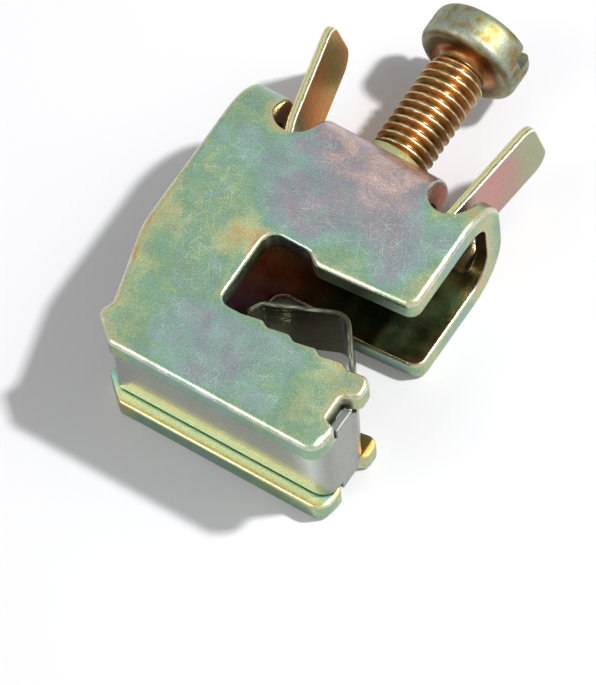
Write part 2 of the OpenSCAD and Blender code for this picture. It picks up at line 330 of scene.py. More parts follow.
# %% Meshes with numbers on their points
def write_layer(mesh, key, values):
    """Keeps one number, or one vector, per point on a mesh for the finish to read."""
    values = np.asarray(values, np.float32)
    single = values.ndim == 1
    layer = mesh.attributes.new(key, "FLOAT" if single else "FLOAT_VECTOR", "POINT")
    layer.data.foreach_set("value" if single else "vector", values.ravel())


def read_layer(mesh, key, width=1):
    """One number per point of a mesh, or a row of width numbers."""
    values = np.empty(width * len(mesh.vertices))
    mesh.attributes[key].data.foreach_get("value" if width == 1 else "vector", values)
    return values if width == 1 else values.reshape(-1, width)


def mesh_object(name, points_mm, faces, sharp_deg=50, **layers):
    """Mesh piece from points in millimetres, faces turned outwards, shaded smooth below an angle."""
    mesh = bpy.data.meshes.new(name)
    mesh.from_pydata((np.asarray(points_mm) * MM).tolist(), [], faces)
    for key, values in layers.items():
        write_layer(mesh, key, values)
    work = bmesh.new()
    work.from_mesh(mesh)
    bmesh.ops.recalc_face_normals(work, faces=work.faces)
    work.to_mesh(mesh)
    work.free()
    mesh.polygons.foreach_set("use_smooth", np.ones(len(mesh.polygons), bool))
    mesh.set_sharp_from_angle(angle=np.radians(sharp_deg))
    piece = bpy.data.objects.new(name, mesh)
    bpy.context.scene.collection.objects.link(piece)
    print(name, len(mesh.vertices), "points", len(mesh.polygons), "faces")
    return piece


def next_round(starts, sizes):
    """For points of several closed loops in a row, the index of each point's next one in its loop."""
    ahead = np.arange(sizes.sum()) + 1
    ahead[starts + sizes - 1] = starts
    return ahead


def ring_quads(rings, ahead):
    """Quads between neighbouring rings of points, where ahead gives each point's next one round."""
    here, total = np.arange(len(ahead)), len(ahead)
    row = np.arange(rings - 1)[:, None] * total
    quads = np.stack((row + here, row + ahead, row + total + ahead, row + total + here), -1)
    return quads.reshape(-1, 4)


print("two rings of 4 points give", len(ring_quads(2, np.roll(np.arange(4), -1))), "quads")

# %% [markdown]
# Now the sheet itself. A profile runs round every loop of the blank, down from the outer face over
# the roll, along the cut and into a smaller round at the inner face. Both faces take the same
# triangles between the loops, with a grid of points so that they can bend. The bend is any function
# that places a point of the blank, so one recipe makes body, plate and spring.

# %% Punched sheet
SUPPORT = 0.05
ARC_STEPS = 7


def inside(points, loops):
    """True where a ray from the point crosses the loops an odd number of times."""
    crossed = np.zeros(len(points), int)
    for loop in loops:
        a, b = loop, np.roll(loop, -1, axis=0)
        spans = (a[:, 1] > points[:, None, 1]) != (b[:, 1] > points[:, None, 1])
        rise = np.where(b[:, 1] == a[:, 1], 1e-9, b[:, 1] - a[:, 1])
        meets = a[:, 0] + (points[:, None, 1] - a[:, 1]) * (b[:, 0] - a[:, 0]) / rise
        crossed += (spans & (points[:, None, 0] < meets)).sum(1)
    return crossed % 2 == 1


def punched_sheet(name, outline, holes, thickness, bend, roll, burr, share=0.0, gap=0.5, extra=None):
    """Sheet with punched edges. Round each loop of the blank runs a profile (inset, depth): a quarter
    circle of radius roll(along, across) at the outer face, the straight cut, and at the inner face a
    quarter circle of radius burr, or of a share of the roll where that is more. Both faces are filled
    with grid points, and bend(along, across, depth) places them all. The piece keeps edge_mm, the
    distance from the cut edge; cut, 1 on the cut face; inner, the depth's share of the thickness; and
    blank, the place on the flat blank. Extra is a closed shell (points, faces) that joins the piece."""
    loops = [spaced(np.asarray(loop, float), gap) for loop in (outline, *holes)]
    normals = [into_material(loop, hole=i > 0) for i, loop in enumerate(loops)]
    edge, inward = np.vstack(loops), np.vstack(normals)
    sizes = np.array([len(loop) for loop in loops])
    starts = np.cumsum(sizes) - sizes
    ahead = next_round(starts, sizes)
    rolls = np.concatenate([roll_room(loop, normal, roll(*loop.T)) for loop, normal in zip(loops, normals)])
    burrs = np.maximum(burr, share * rolls)
    arc = np.linspace(0, np.pi / 2, ARC_STEPS)[:, None]
    none = np.zeros_like(rolls)
    inset = np.vstack((rolls + SUPPORT, rolls * (1 - np.sin(arc)), none, none,
                       burrs * (1 - np.cos(arc)), rolls + SUPPORT))
    depth = np.vstack((none, rolls * (1 - np.cos(arc)), rolls + SUPPORT, thickness - burrs - SUPPORT,
                       thickness - burrs + burrs * np.sin(arc), thickness + none))
    rings = edge + inward * inset[..., None]

    inset_loops = np.split(rings[0], starts[1:])
    axes = [np.arange(low + gap / 2, high, gap) for low, high in zip(edge.min(0), edge.max(0))]
    grid = np.stack(np.meshgrid(*axes, indexing="ij"), -1).reshape(-1, 2)
    grid = grid[inside(grid, inset_loops)]
    spread = np.linalg.norm(grid[:, None] - edge, axis=2)
    roomy = spread.min(1) > rolls[spread.argmin(1)] + SUPPORT + gap / 2
    grid, from_edge = grid[roomy], spread.min(1)[roomy]

    count, total = len(edge), rings.shape[0] * len(edge)
    flat = np.vstack((rings[0], grid))
    borders = np.stack((np.arange(count), ahead), -1)
    found = delaunay_2d_cdt(flat.tolist(), borders.tolist(), [], 0, 1e-7)
    source = np.array([origin[0] for origin in found[3]])
    triangles = source[np.array(found[2])]
    triangles = triangles[inside(flat[triangles].mean(1), inset_loops)]
    on_ring = triangles < count
    upper = np.where(on_ring, triangles, triangles + total - count)
    lower = np.where(on_ring, triangles + total - count, triangles + total - count + len(grid))
    faces = ring_quads(len(rings), ahead).tolist() + upper.tolist() + lower[:, ::-1].tolist()

    deep = np.concatenate((depth.ravel(), np.zeros(len(grid)), np.full(len(grid), thickness)))
    blank = np.c_[np.vstack((rings.reshape(-1, 2), grid, grid)), deep]
    points = bend(*blank.T)
    edge_mm = np.concatenate((inset.ravel(), from_edge, from_edge))
    inner = deep / thickness
    cut = smooth_step((inner - 0.12) / 0.1) * (edge_mm < SUPPORT)
    if extra:
        more_points, more_faces = extra
        faces = faces + (more_faces + len(points)).tolist()
        points, blank = np.vstack((points, more_points)), np.vstack((blank, more_points))
        edge_mm, cut, inner = (np.concatenate((layer, np.full(len(more_points), value)))
                               for layer, value in ((edge_mm, 0.2), (cut, 1.0), (inner, 0.0)))
    return mesh_object(name, points, faces, edge_mm=edge_mm, cut=cut, inner=inner, blank=blank)


print("an edge profile has", 2 * ARC_STEPS + 4, "points")

# %% [markdown]
# Some forms are turned on a lathe: the collar round the thread, the screw's pin and its head. Each is
# a closed profile that goes once round the screw's axis. A spin tool could do it, but the same rule
# also places the points of the thread later.

# %% Turned rings
body_low, body_high = box_mm("clamp_body")
MID_Z = (body_low[2] + body_high[2]) / 2


def round_axis(radius, level, angle):
    """Points about the screw axis: x = radius sin(angle), y = level, z = axis + radius cos(angle)."""
    x, y, z = np.broadcast_arrays(radius * np.sin(angle), level, MID_Z + radius * np.cos(angle))
    return np.stack((x, y, z), -1).reshape(-1, 3)


def turned(profile, steps=96):
    """Closed ring: each (radius, level) of a closed profile goes once round the screw axis."""
    radius, level = (column[:, None] for column in np.asarray(profile, float).T)
    angle = np.linspace(0, 2 * np.pi, steps, endpoint=False)
    points = round_axis(radius, level, angle)
    quads = ring_quads(len(level) + 1, np.roll(np.arange(steps), -1)) % len(points)
    return points, quads


print("screw axis at z", MID_Z.round(2), "mm")

# %% [markdown]
# The body is one sheet folded over a ridge into two equal cheeks. In side view a cheek has a toothed
# slot for the busbar, two hooks at the lower arm and a waist at the closed side. It is drawn once, as
# rows of x, level and corner radius, and serves both cheeks.

# %% Side view of a cheek
COLLAR_H, SHEET_T, FOLD_R = 0.5, 2.1, 4.6
LEFT, BOTTOM = body_low[:2]
HOOK_X = body_high[0]
RIDGE = body_high[1] - COLLAR_H
RIGHT = HOOK_X - 0.6
TOOTH_TOP = BOTTOM + 7.75
VALLEY = TOOTH_TOP - 0.35
JAW = TOOTH_TOP + 6.0
WALL = -3.1
NOTCH = BOTTOM + 4.05
NOTCH_HALF, NOTCH_IN = 2.15 / 2, 0.7
TOOTH_PITCH, TOOTH_COUNT, FIRST_VALLEY = 2.4, 4, WALL + 2.05
TOOTH_LEAN = 0.73
RELIEF_END, RELIEF_UP = WALL + 3.6, 0.85
JAW_IN = RELIEF_END + 1.1
JAW_OUT = JAW + (RIGHT - JAW_IN) * np.tan(np.radians(4.3))
LOWER_HOOK_X = HOOK_X - 0.2

valleys = FIRST_VALLEY + TOOTH_PITCH * np.arange(TOOTH_COUNT)[::-1]
tips = [(x + TOOTH_LEAN * TOOTH_PITCH, TOOTH_TOP, 0.4) for x in valleys]
tooth_rows = np.stack((tips, [(x, VALLEY, 0.5) for x in valleys]), 1)
cheek = rounded_line(np.vstack((
    [(LEFT, RIDGE, 0),
     (LEFT, BOTTOM + 10.2, 8),
     (LEFT + 1.85, BOTTOM + 3.3, 0.6),
     (LEFT + 1.5, BOTTOM + 1.9, 0.4),
     (LEFT + 3.6, BOTTOM, 0.6),
     (LOWER_HOOK_X, BOTTOM, 1.4),
     (LOWER_HOOK_X, NOTCH - NOTCH_HALF - 0.35, 0.75),
     (RIGHT - NOTCH_IN, NOTCH - NOTCH_HALF, 0.45),
     (RIGHT - NOTCH_IN, NOTCH + NOTCH_HALF, 0.45),
     (HOOK_X, NOTCH + NOTCH_HALF + 0.7, 0.6),
     (HOOK_X, TOOTH_TOP, 0.85),
     (FIRST_VALLEY + TOOTH_COUNT * TOOTH_PITCH, VALLEY, 0.5)],
    tooth_rows.reshape(-1, 3),
    [(WALL, VALLEY, 0.9),
     (WALL, JAW + RELIEF_UP, 1.2),
     (RELIEF_END, JAW + RELIEF_UP, 1),
     (JAW_IN, JAW, 1),
     (RIGHT, JAW_OUT, 1),
     (RIGHT, RIDGE, 0)])))
print("side view", (HOOK_X - LEFT).round(2), "by", (RIDGE - BOTTOM).round(2), "mm,", len(cheek), "points")

# %% [markdown]
# The folded sheet's outside follows one rule: flat ridge, quarter circle, straight leg. Unfolding a
# level of the side view gives its place on the blank, as a toolmaker lays out the flat strip, and the
# fold takes it back. The slots for the ears end in an upright wall behind the ridge, so there the
# blank is cut at a slant.

# %% Folding the blank
HALF_FLAT = body_high[2] - MID_Z - FOLD_R
TANGENT = RIDGE - FOLD_R
EAR_REACH = joint_mm("ear_right_flex")[0]
SLOT_HALF, SLOT_DROP = 3.5 / 2, 4.0
SLOT_REAR = MID_Z - SHEET_T - HALF_FLAT - 0.25
SLOT_REAR_RUN = HALF_FLAT + FOLD_R * np.arcsin(SLOT_REAR / FOLD_R)
SIDE_BLEND, SETTLE, SLANT_FADE = 0.8, 0.5, 14


def unfold(level):
    """Distance over the outside from the ridge's middle down to a level: half the flat ridge, then
    radius times the arc cosine of the rise above the fold's tangent level, then the straight leg."""
    rise = np.clip((level - TANGENT) / FOLD_R, 0, 1)
    return HALF_FLAT + FOLD_R * np.arccos(rise) + np.maximum(TANGENT - level, 0)


def fold(x, run, depth):
    """Place on the folded sheet of blank point (x, run) at a depth under the outer face: the fold turns
    the run past the flat ridge through an angle run / radius, up to a right angle, and on down a leg.
    Behind an ear slot the run grows with the depth, so that the slot's rear wall stands upright."""
    far = np.abs(run)
    from_slot = np.abs(np.abs(x) - EAR_REACH) - SLOT_HALF
    behind = smooth_step((SIDE_BLEND - from_slot) / SIDE_BLEND) * (run < 0)
    upright = HALF_FLAT + FOLD_R * np.arcsin(np.clip(SLOT_REAR / (FOLD_R - depth), 0, 1)) - SLOT_REAR_RUN
    past = far - SLOT_REAR_RUN
    settle = smooth_step((past + SETTLE) / SETTLE) * (1 - smooth_step(past / SLANT_FADE))
    far = far + behind * upright * settle
    turn = np.clip((far - HALF_FLAT) / FOLD_R, 0, np.pi / 2)
    leg = np.maximum(far - HALF_FLAT - FOLD_R * np.pi / 2, 0)
    out = np.minimum(far, HALF_FLAT) + (FOLD_R - depth) * np.sin(turn)
    return np.stack((x, TANGENT + (FOLD_R - depth) * np.cos(turn) - leg, MID_Z + np.sign(run) * out), -1)


def both_cheeks(line):
    """Closed blank outline: the side view of one cheek unfolded, then its mirror image backwards."""
    front = np.c_[line[:, 0], unfold(line[:, 1])]
    return np.vstack((front, front[::-1] * (1, -1)))


print("the blank is", (2 * unfold(BOTTOM)).round(1), "mm long")

# %% [markdown]
# Two slots and a round hole are punched in the blank before it is folded. The collar round the thread
# was drawn up out of the ridge, and here it is a turned ring that joins the sheet. Edges that a hand
# or a bar rubs are rolled wider than the fine edge round the busbar slot.

# %% Slots, collar and body
COLLAR_R, BORE_R = 5.6 / 2, 5.12 / 2
COLLAR_TOP = RIDGE + COLLAR_H
BOTTOM_RUN = unfold(BOTTOM)
FINE_ROLL = 0.28
JAW_MORE, BOTTOM_MORE, WAIST_MORE, HOOK_MORE, ARM_MORE = 0.3, 0.2, 0.3, 0.7, 0.2

slot_angle = np.linspace(0, np.pi, 17)
slot_low = unfold(RIDGE - SLOT_DROP + SLOT_HALF - SLOT_HALF * np.sin(slot_angle))
slot_rear = rounded_line([(-SLOT_HALF, 0, 0), (-SLOT_HALF, -SLOT_REAR_RUN, 0.6),
                          (SLOT_HALF, -SLOT_REAR_RUN, 0.6), (SLOT_HALF, 0, 0)])
slot_loop = np.vstack((np.c_[SLOT_HALF * np.cos(slot_angle), slot_low], slot_rear))
ear_slots = [slot_loop + (way * EAR_REACH, 0) for way in (-1, 1)]

hole_angle = np.linspace(0, 2 * np.pi, 64, endpoint=False)
hole_x, hole_z = (0.5 * (COLLAR_R + BORE_R)) * np.stack((np.cos(hole_angle), np.sin(hole_angle)))
on_flat = np.minimum(np.abs(hole_z), HALF_FLAT)
hole_run = np.sign(hole_z) * (on_flat + FOLD_R * np.arcsin((np.abs(hole_z) - on_flat) / FOLD_R))
collar = turned([(BORE_R, RIDGE - SHEET_T),
                 (BORE_R, COLLAR_TOP - 0.12),
                 (BORE_R + 0.06, COLLAR_TOP - 0.02),
                 (BORE_R + 0.12, COLLAR_TOP),
                 (COLLAR_R - 0.08, COLLAR_TOP - 0.02),
                 (COLLAR_R, COLLAR_TOP - 0.1),
                 (COLLAR_R, RIDGE - SHEET_T)])


def body_roll(x, run):
    """Rolled edge of the body: fine round the slot, wider at the jaw, the bottom edge, the waist and
    the upper arm's end, and widest at the hooks. Each part fades in by a smooth step."""
    far = np.abs(run)
    at_jaw = (far < unfold(JAW - 1)) * (far > unfold(JAW + 2)) * smooth_step((x - RELIEF_END + 1) / 1.5)
    at_bottom = smooth_step((far - BOTTOM_RUN + 1) / 0.8)
    at_waist = smooth_step((LEFT + 3 - x) / 1.5)
    at_hook = smooth_step((x - HOOK_X + 1.0) / 0.6) * (far > unfold(TOOTH_TOP + 1))
    at_arm = smooth_step((x - RIGHT + 1.0) / 0.6) * (far < unfold(JAW + 2))
    wider = JAW_MORE * at_jaw + BOTTOM_MORE * at_bottom + WAIST_MORE * at_waist
    return FINE_ROLL + wider + HOOK_MORE * at_hook + ARM_MORE * at_arm


body_sheet = punched_sheet("body_sheet", both_cheeks(cheek), [*ear_slots, np.c_[hole_x, hole_run]],
                           SHEET_T, fold, body_roll, burr=0.25, share=0.6, extra=collar)
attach(body_sheet, "frame")
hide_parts("clamp_body")

# %% [markdown]
# The screw is a slotted cheese head on an M5 shank. Its thread is one grid: rows go up the shank and
# columns round it, and the radius depends on how far a point is along the pitch, less its share of a
# turn. That shears the rows into a helix with no need for a swept curve, and both ends fade out.

# %% Screw shank
screw_low, screw_high = box_mm("clamping_screw")
HEAD_R = (screw_high[0] - screw_low[0]) / 2
HEAD_TOP, HEAD_H = screw_high[1], 3.3
HEAD_LOW = HEAD_TOP - HEAD_H
PITCH, MAJOR_R, THREAD_DEPTH = 0.8, 2.5, 0.49
ROOT_FLAT, FLANK, CREST_ROUND = 0.12, 0.72, 0.45
RUNOUT_GAP, RUNOUT, LEAD_IN = 0.5, 0.9, 0.7
RIM_LOW, RIM_R, PIN_R = screw_low[1], 2.1, 1.5
TIP = RIM_LOW + 1.9
NECK = 0.7
AXIS_R = 0.02
TURN_STEPS, LEVEL_STEP = 120, 0.05

levels = np.arange(TIP, HEAD_LOW + LEVEL_STEP / 2, LEVEL_STEP)[:, None]
angle = np.linspace(0, 2 * np.pi, TURN_STEPS, endpoint=False)
phase = (levels - TIP) / PITCH - angle / (2 * np.pi)
flank = np.clip((1 - np.abs(2 * (phase % 1) - 1) - ROOT_FLAT) / FLANK, 0, 1)
crest = (1 - CREST_ROUND) * flank + CREST_ROUND * smooth_step(flank)
fade = smooth_step((HEAD_LOW - RUNOUT_GAP - levels) / RUNOUT) * smooth_step((levels - TIP) / LEAD_IN)
crest = crest * fade
foot = np.clip((levels - HEAD_LOW + NECK) / NECK, 0, 1)
radius = MAJOR_R - THREAD_DEPTH + THREAD_DEPTH * crest + NECK * (1 - np.sqrt(1 - foot ** 2))
shank = round_axis(radius, levels, angle)
turn = np.arange(TURN_STEPS)
shank_quads = ring_quads(len(levels), np.roll(turn, -1))
shank_caps = np.stack((turn[::-1], turn + len(shank) - TURN_STEPS))
pin_points, pin_quads = turned([(AXIS_R, RIM_LOW),
                                (RIM_R - 0.2, RIM_LOW),
                                (RIM_R, RIM_LOW + 0.2),
                                (RIM_R, RIM_LOW + 0.5),
                                (PIN_R, RIM_LOW + 0.55),
                                (PIN_R, TIP + 0.2),
                                (AXIS_R, TIP + 0.2)], TURN_STEPS)
print("thread turns:", round(float((HEAD_LOW - TIP) / PITCH), 1))

# %% [markdown]
# The head is a turned disc with a soft rim, and above the slot's floor two D-shaped halves. A boolean
# cut would leave knife edges, so each half is a grid whose height falls off in two rounds: a wide one
# at the rim, a small one along the slot.

# %% Screw head
DRIVE_HALF, DRIVE_DEPTH, DRIVE_TURN = 1.3 / 2, 1.6, np.radians(18)
SLOT_FLOOR = HEAD_TOP - DRIVE_DEPTH
RIM_ROUND, SLOT_ROUND, SKIRT = 0.8, 0.14, 0.75
skirt_arc = np.linspace(-np.pi / 2, 0, 7)
disc_points, disc_quads = turned(np.vstack((
    (AXIS_R, HEAD_LOW),
    (HEAD_R - SKIRT - 0.06, HEAD_LOW),
    np.c_[HEAD_R - SKIRT + SKIRT * np.cos(skirt_arc), HEAD_LOW + SKIRT + SKIRT * np.sin(skirt_arc)],
    (HEAD_R, HEAD_LOW + SKIRT + 0.06),
    (HEAD_R, SLOT_FLOOR),
    (AXIS_R, SLOT_FLOOR))), TURN_STEPS)


def rounded_off(distance, radius):
    """Drop of a rounded edge at a distance inside it: r - sqrt(r squared - (r - distance) squared)."""
    inside_edge = np.clip(radius - distance, 0, radius)
    return radius - np.sqrt(radius ** 2 - inside_edge ** 2)


def head_half(way):
    """D-shaped half of the head in polar rows: from the slot's wall, at distance DRIVE_HALF / cos(angle),
    out to the rim. Its top drops by the larger of two rounds, one at the rim and one along the slot.
    The boundary of the top goes straight down to the slot's floor."""
    reach = np.arccos(DRIVE_HALF / HEAD_R) - 0.003
    angle = reach * np.sin(np.linspace(-np.pi / 2, np.pi / 2, 97))
    share = np.r_[np.linspace(0, 0.045, 8), np.linspace(0.06, 0.78, 10), np.linspace(0.8, 1, 14)][:, None]
    wall = DRIVE_HALF / np.cos(angle)
    radius = wall + share * (HEAD_R - wall)
    drop = np.maximum(rounded_off(HEAD_R - radius, RIM_ROUND),
                      rounded_off(radius * np.cos(angle) - DRIVE_HALF, SLOT_ROUND))
    c, s = np.cos(DRIVE_TURN), np.sin(DRIVE_TURN)
    along, out = radius * np.sin(angle), way * radius * np.cos(angle)
    top = np.stack((along * c - out * s, HEAD_TOP - drop, MID_Z + along * s + out * c), -1)
    index = np.arange(radius.size).reshape(radius.shape)
    quads = np.stack((index[:-1, :-1], index[:-1, 1:], index[1:, 1:], index[1:, :-1]), -1).reshape(-1, 4)
    edge = np.concatenate((index[0], index[1:-1, -1], index[-1, ::-1], index[-2:0:-1, 0]))
    foot = top.reshape(-1, 3)[edge]
    foot[:, 1] = SLOT_FLOOR - 0.02
    low = radius.size + np.arange(len(edge))
    walls = np.stack((edge, np.roll(edge, -1), np.roll(low, -1), low), -1)
    return np.vstack((top.reshape(-1, 3), foot)), [quads, walls, low[None]]


shells = [(shank, [shank_quads, shank_caps]), (pin_points, [pin_quads]), (disc_points, [disc_quads]),
          head_half(1), head_half(-1)]
screw_points = np.vstack([points for points, _ in shells])
screw_faces = []
start = 0
for points, face_kinds in shells:
    for faces in face_kinds:
        screw_faces += (faces + start).tolist()
    start += len(points)
screw_crest = np.concatenate((crest.ravel(), np.full(len(screw_points) - crest.size, 0.5)))
slotted_screw = mesh_object("slotted_screw", screw_points, screw_faces, 40, crest=screw_crest)
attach(slotted_screw, "screw")
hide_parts("clamping_screw")

# %% [markdown]
# Plate and spring are strips, sheared to width and bent in a press. A strip needs only a line in the
# side view and a blank: each point goes as far along the line as it lies along the blank, and then
# sideways by its depth. A curve modifier would stretch the corners of the blank.

# %% Bending a strip along a line
def bent_along(line, offset):
    """Bends a blank along a line of the side view: the point at a distance along it, plus the unit
    normal times offset(along, across, depth), with the blank's other direction across the depth."""
    step = np.linalg.norm(np.diff(line, axis=0), axis=1)
    line = line[np.r_[True, step > 1e-9]]
    reach = np.r_[0, np.cumsum(np.linalg.norm(np.diff(line, axis=0), axis=1))]
    ahead = np.gradient(line, reach, axis=0)
    ahead /= np.linalg.norm(ahead, axis=1, keepdims=True)

    def bend(along, across, depth):
        x, y, dx, dy = (np.interp(along, reach, column) for column in (*line.T, *ahead.T))
        away = offset(along, across, depth)
        return np.stack((x - dy * away, y + dx * away, MID_Z + across), -1)

    return bend, reach[-1]


def even_roll(size):
    """Rolled edge with one radius all round a blank."""
    def roll(along, across):
        return np.full(len(along), size)

    return roll


quarter = rounded_line([(0, 0, 0), (5, 0, 2), (5, 5, 0)])
print("a bend of radius 2 makes a line of", bent_along(quarter, offset=None)[1].round(2), "mm")

# %% [markdown]
# The pressure plate is a strip whose two ends are bent up into springy ears. Each half is one blank,
# so the flat part, the bend and the ear are one smooth sheet.

# %% Pressure plate and ears
plate_low, plate_high = box_mm("pressure_plate")
PLATE_MID = (plate_low[1] + plate_high[1]) / 2
PLATE_T, EAR_T = plate_high[1] - plate_low[1], 0.7
PLATE_HALF_W = (plate_high[2] - plate_low[2]) / 2
EAR_LEN, EAR_SLANT, EAR_CORNER, EAR_BEND = 13.0, 1.6, 1.5, 0.9
EAR_ROLL, EAR_BURR = 0.16, 0.08
PIN_HOLE, LAP = 1.56, 0.3
THIN_BEFORE, THIN_OVER, TWIST_OVER = 1.2, 2.0, 2.5


def plate_half(name, way, lean_deg, twist_deg, nodes):
    """Half of the plate with its ear. The line runs from the screw axis to the ear's root, turns up
    with a small bend and goes on along the leaning ear. Thickness falls from the plate's to the ear's
    through the bend, and the twist moves each edge of the ear by across times its tangent. The halves
    lap a little under the screw, so that no seam shows."""
    lean = np.radians(lean_deg)
    root = np.array((way * EAR_REACH, PLATE_MID))
    tip = root + EAR_LEN * np.array((way * np.sin(lean), np.cos(lean)))
    line = rounded_line([(-way * LAP, PLATE_MID, 0), (*root, EAR_BEND), (*tip, 0)], 24)
    bend_at = EAR_REACH + LAP
    hole = PIN_HOLE + LAP

    def offset(along, across, depth):
        thin = smooth_step((along - bend_at + THIN_BEFORE) / THIN_OVER)
        thickness = PLATE_T + (EAR_T - PLATE_T) * thin
        twisted = smooth_step((along - bend_at) / TWIST_OVER)
        twist = across * np.tan(np.radians(twist_deg)) * twisted
        return way * (0.5 - depth) * thickness + twist

    bend, length = bent_along(line, offset)
    half = PLATE_HALF_W
    blank = rounded_loop([(0, -half, 0.3), (length, -half, EAR_CORNER),
                          (length - EAR_SLANT, half, EAR_CORNER), (0, half, 0.3),
                          (0, PIN_HOLE, 0.3), (hole, PIN_HOLE, 1.2),
                          (hole, -PIN_HOLE, 1.2), (0, -PIN_HOLE, 0.3)], 10)
    piece = punched_sheet(name, blank, [], 1.0, bend, even_roll(EAR_ROLL), EAR_BURR, gap=0.4)
    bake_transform(piece)
    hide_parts(*nodes)
    return piece


left_half = plate_half("plate_left_half", -1, 13.0, 4.0, ["left_ear", "pressure_plate"])
right_half = plate_half("plate_right_half", 1, 6.5, 0.0, ["right_ear"])

# %% [markdown]
# The retaining spring is one bright strip: flat along the bottom between the cheeks, turned up at the
# open side, and folded back into a leaf that rises across the busbar slot. Two lugs on the upright end
# sit in the notches of the cheeks.

# %% Line of the spring
base_low, base_high = box_mm("spring_base")
leaf_low, leaf_high = box_mm("spring_leaf")
fold_x, fold_y = joint_mm("leaf_flex")[:2]
STRIP_T = 0.4
STRIP_MID = base_low[1] + STRIP_T / 2
crest_at = np.array((fold_x - 5.1, fold_y + 7.05))
lip_at = crest_at + (-6.2, -2.6)
spring_line = rounded_line([(base_low[0], STRIP_MID, 0), (fold_x, STRIP_MID, 1.2), (fold_x, fold_y, 0.8),
                            (*crest_at, 1.3), (*lip_at, 0.6), (*(lip_at + (-0.6, -1.15)), 0)], 16)
spring_reach = np.r_[0, np.cumsum(np.linalg.norm(np.diff(spring_line, axis=0), axis=1))]
on_upright = spring_line[:, 0] > fold_x - 0.01


def along_to(level):
    """Distance along the strip to a level of its upright end, read off the line."""
    return np.interp(level, spring_line[on_upright, 1], spring_reach[on_upright])


print("the strip is", spring_reach[-1].round(1), "mm long")

# %% [markdown]
# The blank of the spring is widest at the lugs, and narrower at the leaf than at the bottom, so that
# the leaf can move between the cheeks. Shearing squeezed the lugs, so they are a little thicker on one
# side. One mirrored row of corners draws both long edges.

# %% Retaining spring
LUG_MORE = 0.28
LUG_HALF_W = (base_high[2] - base_low[2]) / 2
STRIP_HALF_W = LUG_HALF_W - 1.0
LEAF_HALF_W = (leaf_high[2] - leaf_low[2]) / 2
STRIP_ROLL, STRIP_BURR = 0.1, 0.06


def strip_offset(along, across, depth):
    """Offset from the strip's middle line: the depth less half the thickness, and a little more on the
    inner side of the lugs."""
    upset = smooth_step((np.abs(across) - STRIP_HALF_W) / 0.3) * depth / STRIP_T
    return depth - STRIP_T / 2 + LUG_MORE * upset


bend, spring_len = bent_along(spring_line, strip_offset)
lug_low, lug_high = along_to(NOTCH - NOTCH_HALF - 0.02), along_to(NOTCH + NOTCH_HALF)
neck = along_to(fold_y - 0.2)
side_rows = np.array([(0, STRIP_HALF_W, 0.4),
                      (lug_low, STRIP_HALF_W, 0.12),
                      (lug_low, LUG_HALF_W, 0.15),
                      (lug_high, LUG_HALF_W, 0.15),
                      (lug_high, STRIP_HALF_W, 0.12),
                      (neck, STRIP_HALF_W, 0.2),
                      (neck + 0.4, LEAF_HALF_W, 0.25),
                      (spring_len, LEAF_HALF_W, 0.4)])
spring_blank = rounded_loop(np.vstack((side_rows, side_rows[::-1] * (1, -1, 1))), 6)
retaining_spring = punched_sheet("retaining_spring", spring_blank, [], STRIP_T, bend,
                                 even_roll(STRIP_ROLL), STRIP_BURR, gap=0.4)
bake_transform(retaining_spring)
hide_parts("spring_base", "spring_leaf")

# %% [markdown]
# Yellow chromate is a film a few hundred nanometres thick on zinc. Where it thickens the reflected
# colour walks through orange, yellow, green, blue-grey, violet and pink, like oil on water. So one
# number, the film, goes through one colour ramp. The film's slow drift over the cheek is a blend of
# patches at places in millimetres, kept on the mesh. Noise alone would put the colours anywhere.

# %% Drift of the film
# Each patch is x, level, radius and film.
FILM_PATCHES = np.array([(5.3, 1.8, 3.4, 0.84), (-1.6, 0.5, 3.0, 0.76), (-3.3, -14.5, 2.2, 0.70),
                         (0.2, -14.6, 2.4, 0.64), (-0.8, 7.0, 3.0, 1.0), (4.0, 7.2, 3.0, 1.0),
                         (-4.2, 6.6, 2.2, 0.95), (-9.6, -12.7, 2.6, 0.32), (-6.3, -9.4, 2.4, 0.44),
                         (3.4, -3.1, 2.0, 0.34), (8.0, -12.3, 2.4, 0.3), (-8.7, -16.2, 2.0, 0.3),
                         (-11.0, 2.9, 3.0, 0.46), (4.2, -13.7, 2.0, 0.5), (-4.9, 3.2, 2.4, 0.58),
                         (-4.6, -16.8, 1.8, 0.5), (8.6, 1.4, 2.0, 0.5), (-11.8, -5.8, 1.8, 0.2),
                         (7.5, 4.3, 1.5, 0.22), (-7.0, 5.3, 1.5, 0.2), (-4.6, -5.0, 1.3, 0.15),
                         (-6.0, -6.2, 1.2, 0.2), (-11.9, -10.0, 1.2, 0.12), (-8.3, -2.5, 3.0, 0.4),
                         (10.2, 5.2, 1.5, 0.2), (10.2, -1.5, 1.6, 0.26)])
FILM_BASE, BASE_WEIGHT = 0.42, 0.05


def film_drift(places):
    """Film at places of the side view: the patches' values averaged with weights
    exp(-(distance / radius) squared), with a small weight on the base value."""
    square = ((places[:, None] - FILM_PATCHES[:, :2]) ** 2).sum(2)
    weight = np.exp(-square / FILM_PATCHES[:, 2] ** 2)
    return (FILM_BASE * BASE_WEIGHT + weight @ FILM_PATCHES[:, 3]) / (BASE_WEIGHT + weight.sum(1))


body_places = read_layer(body_sheet.data, "position", 3) / MM
body_film = film_drift(body_places[:, :2])
print("film from", body_film.min().round(2), "to", body_film.max().round(2))
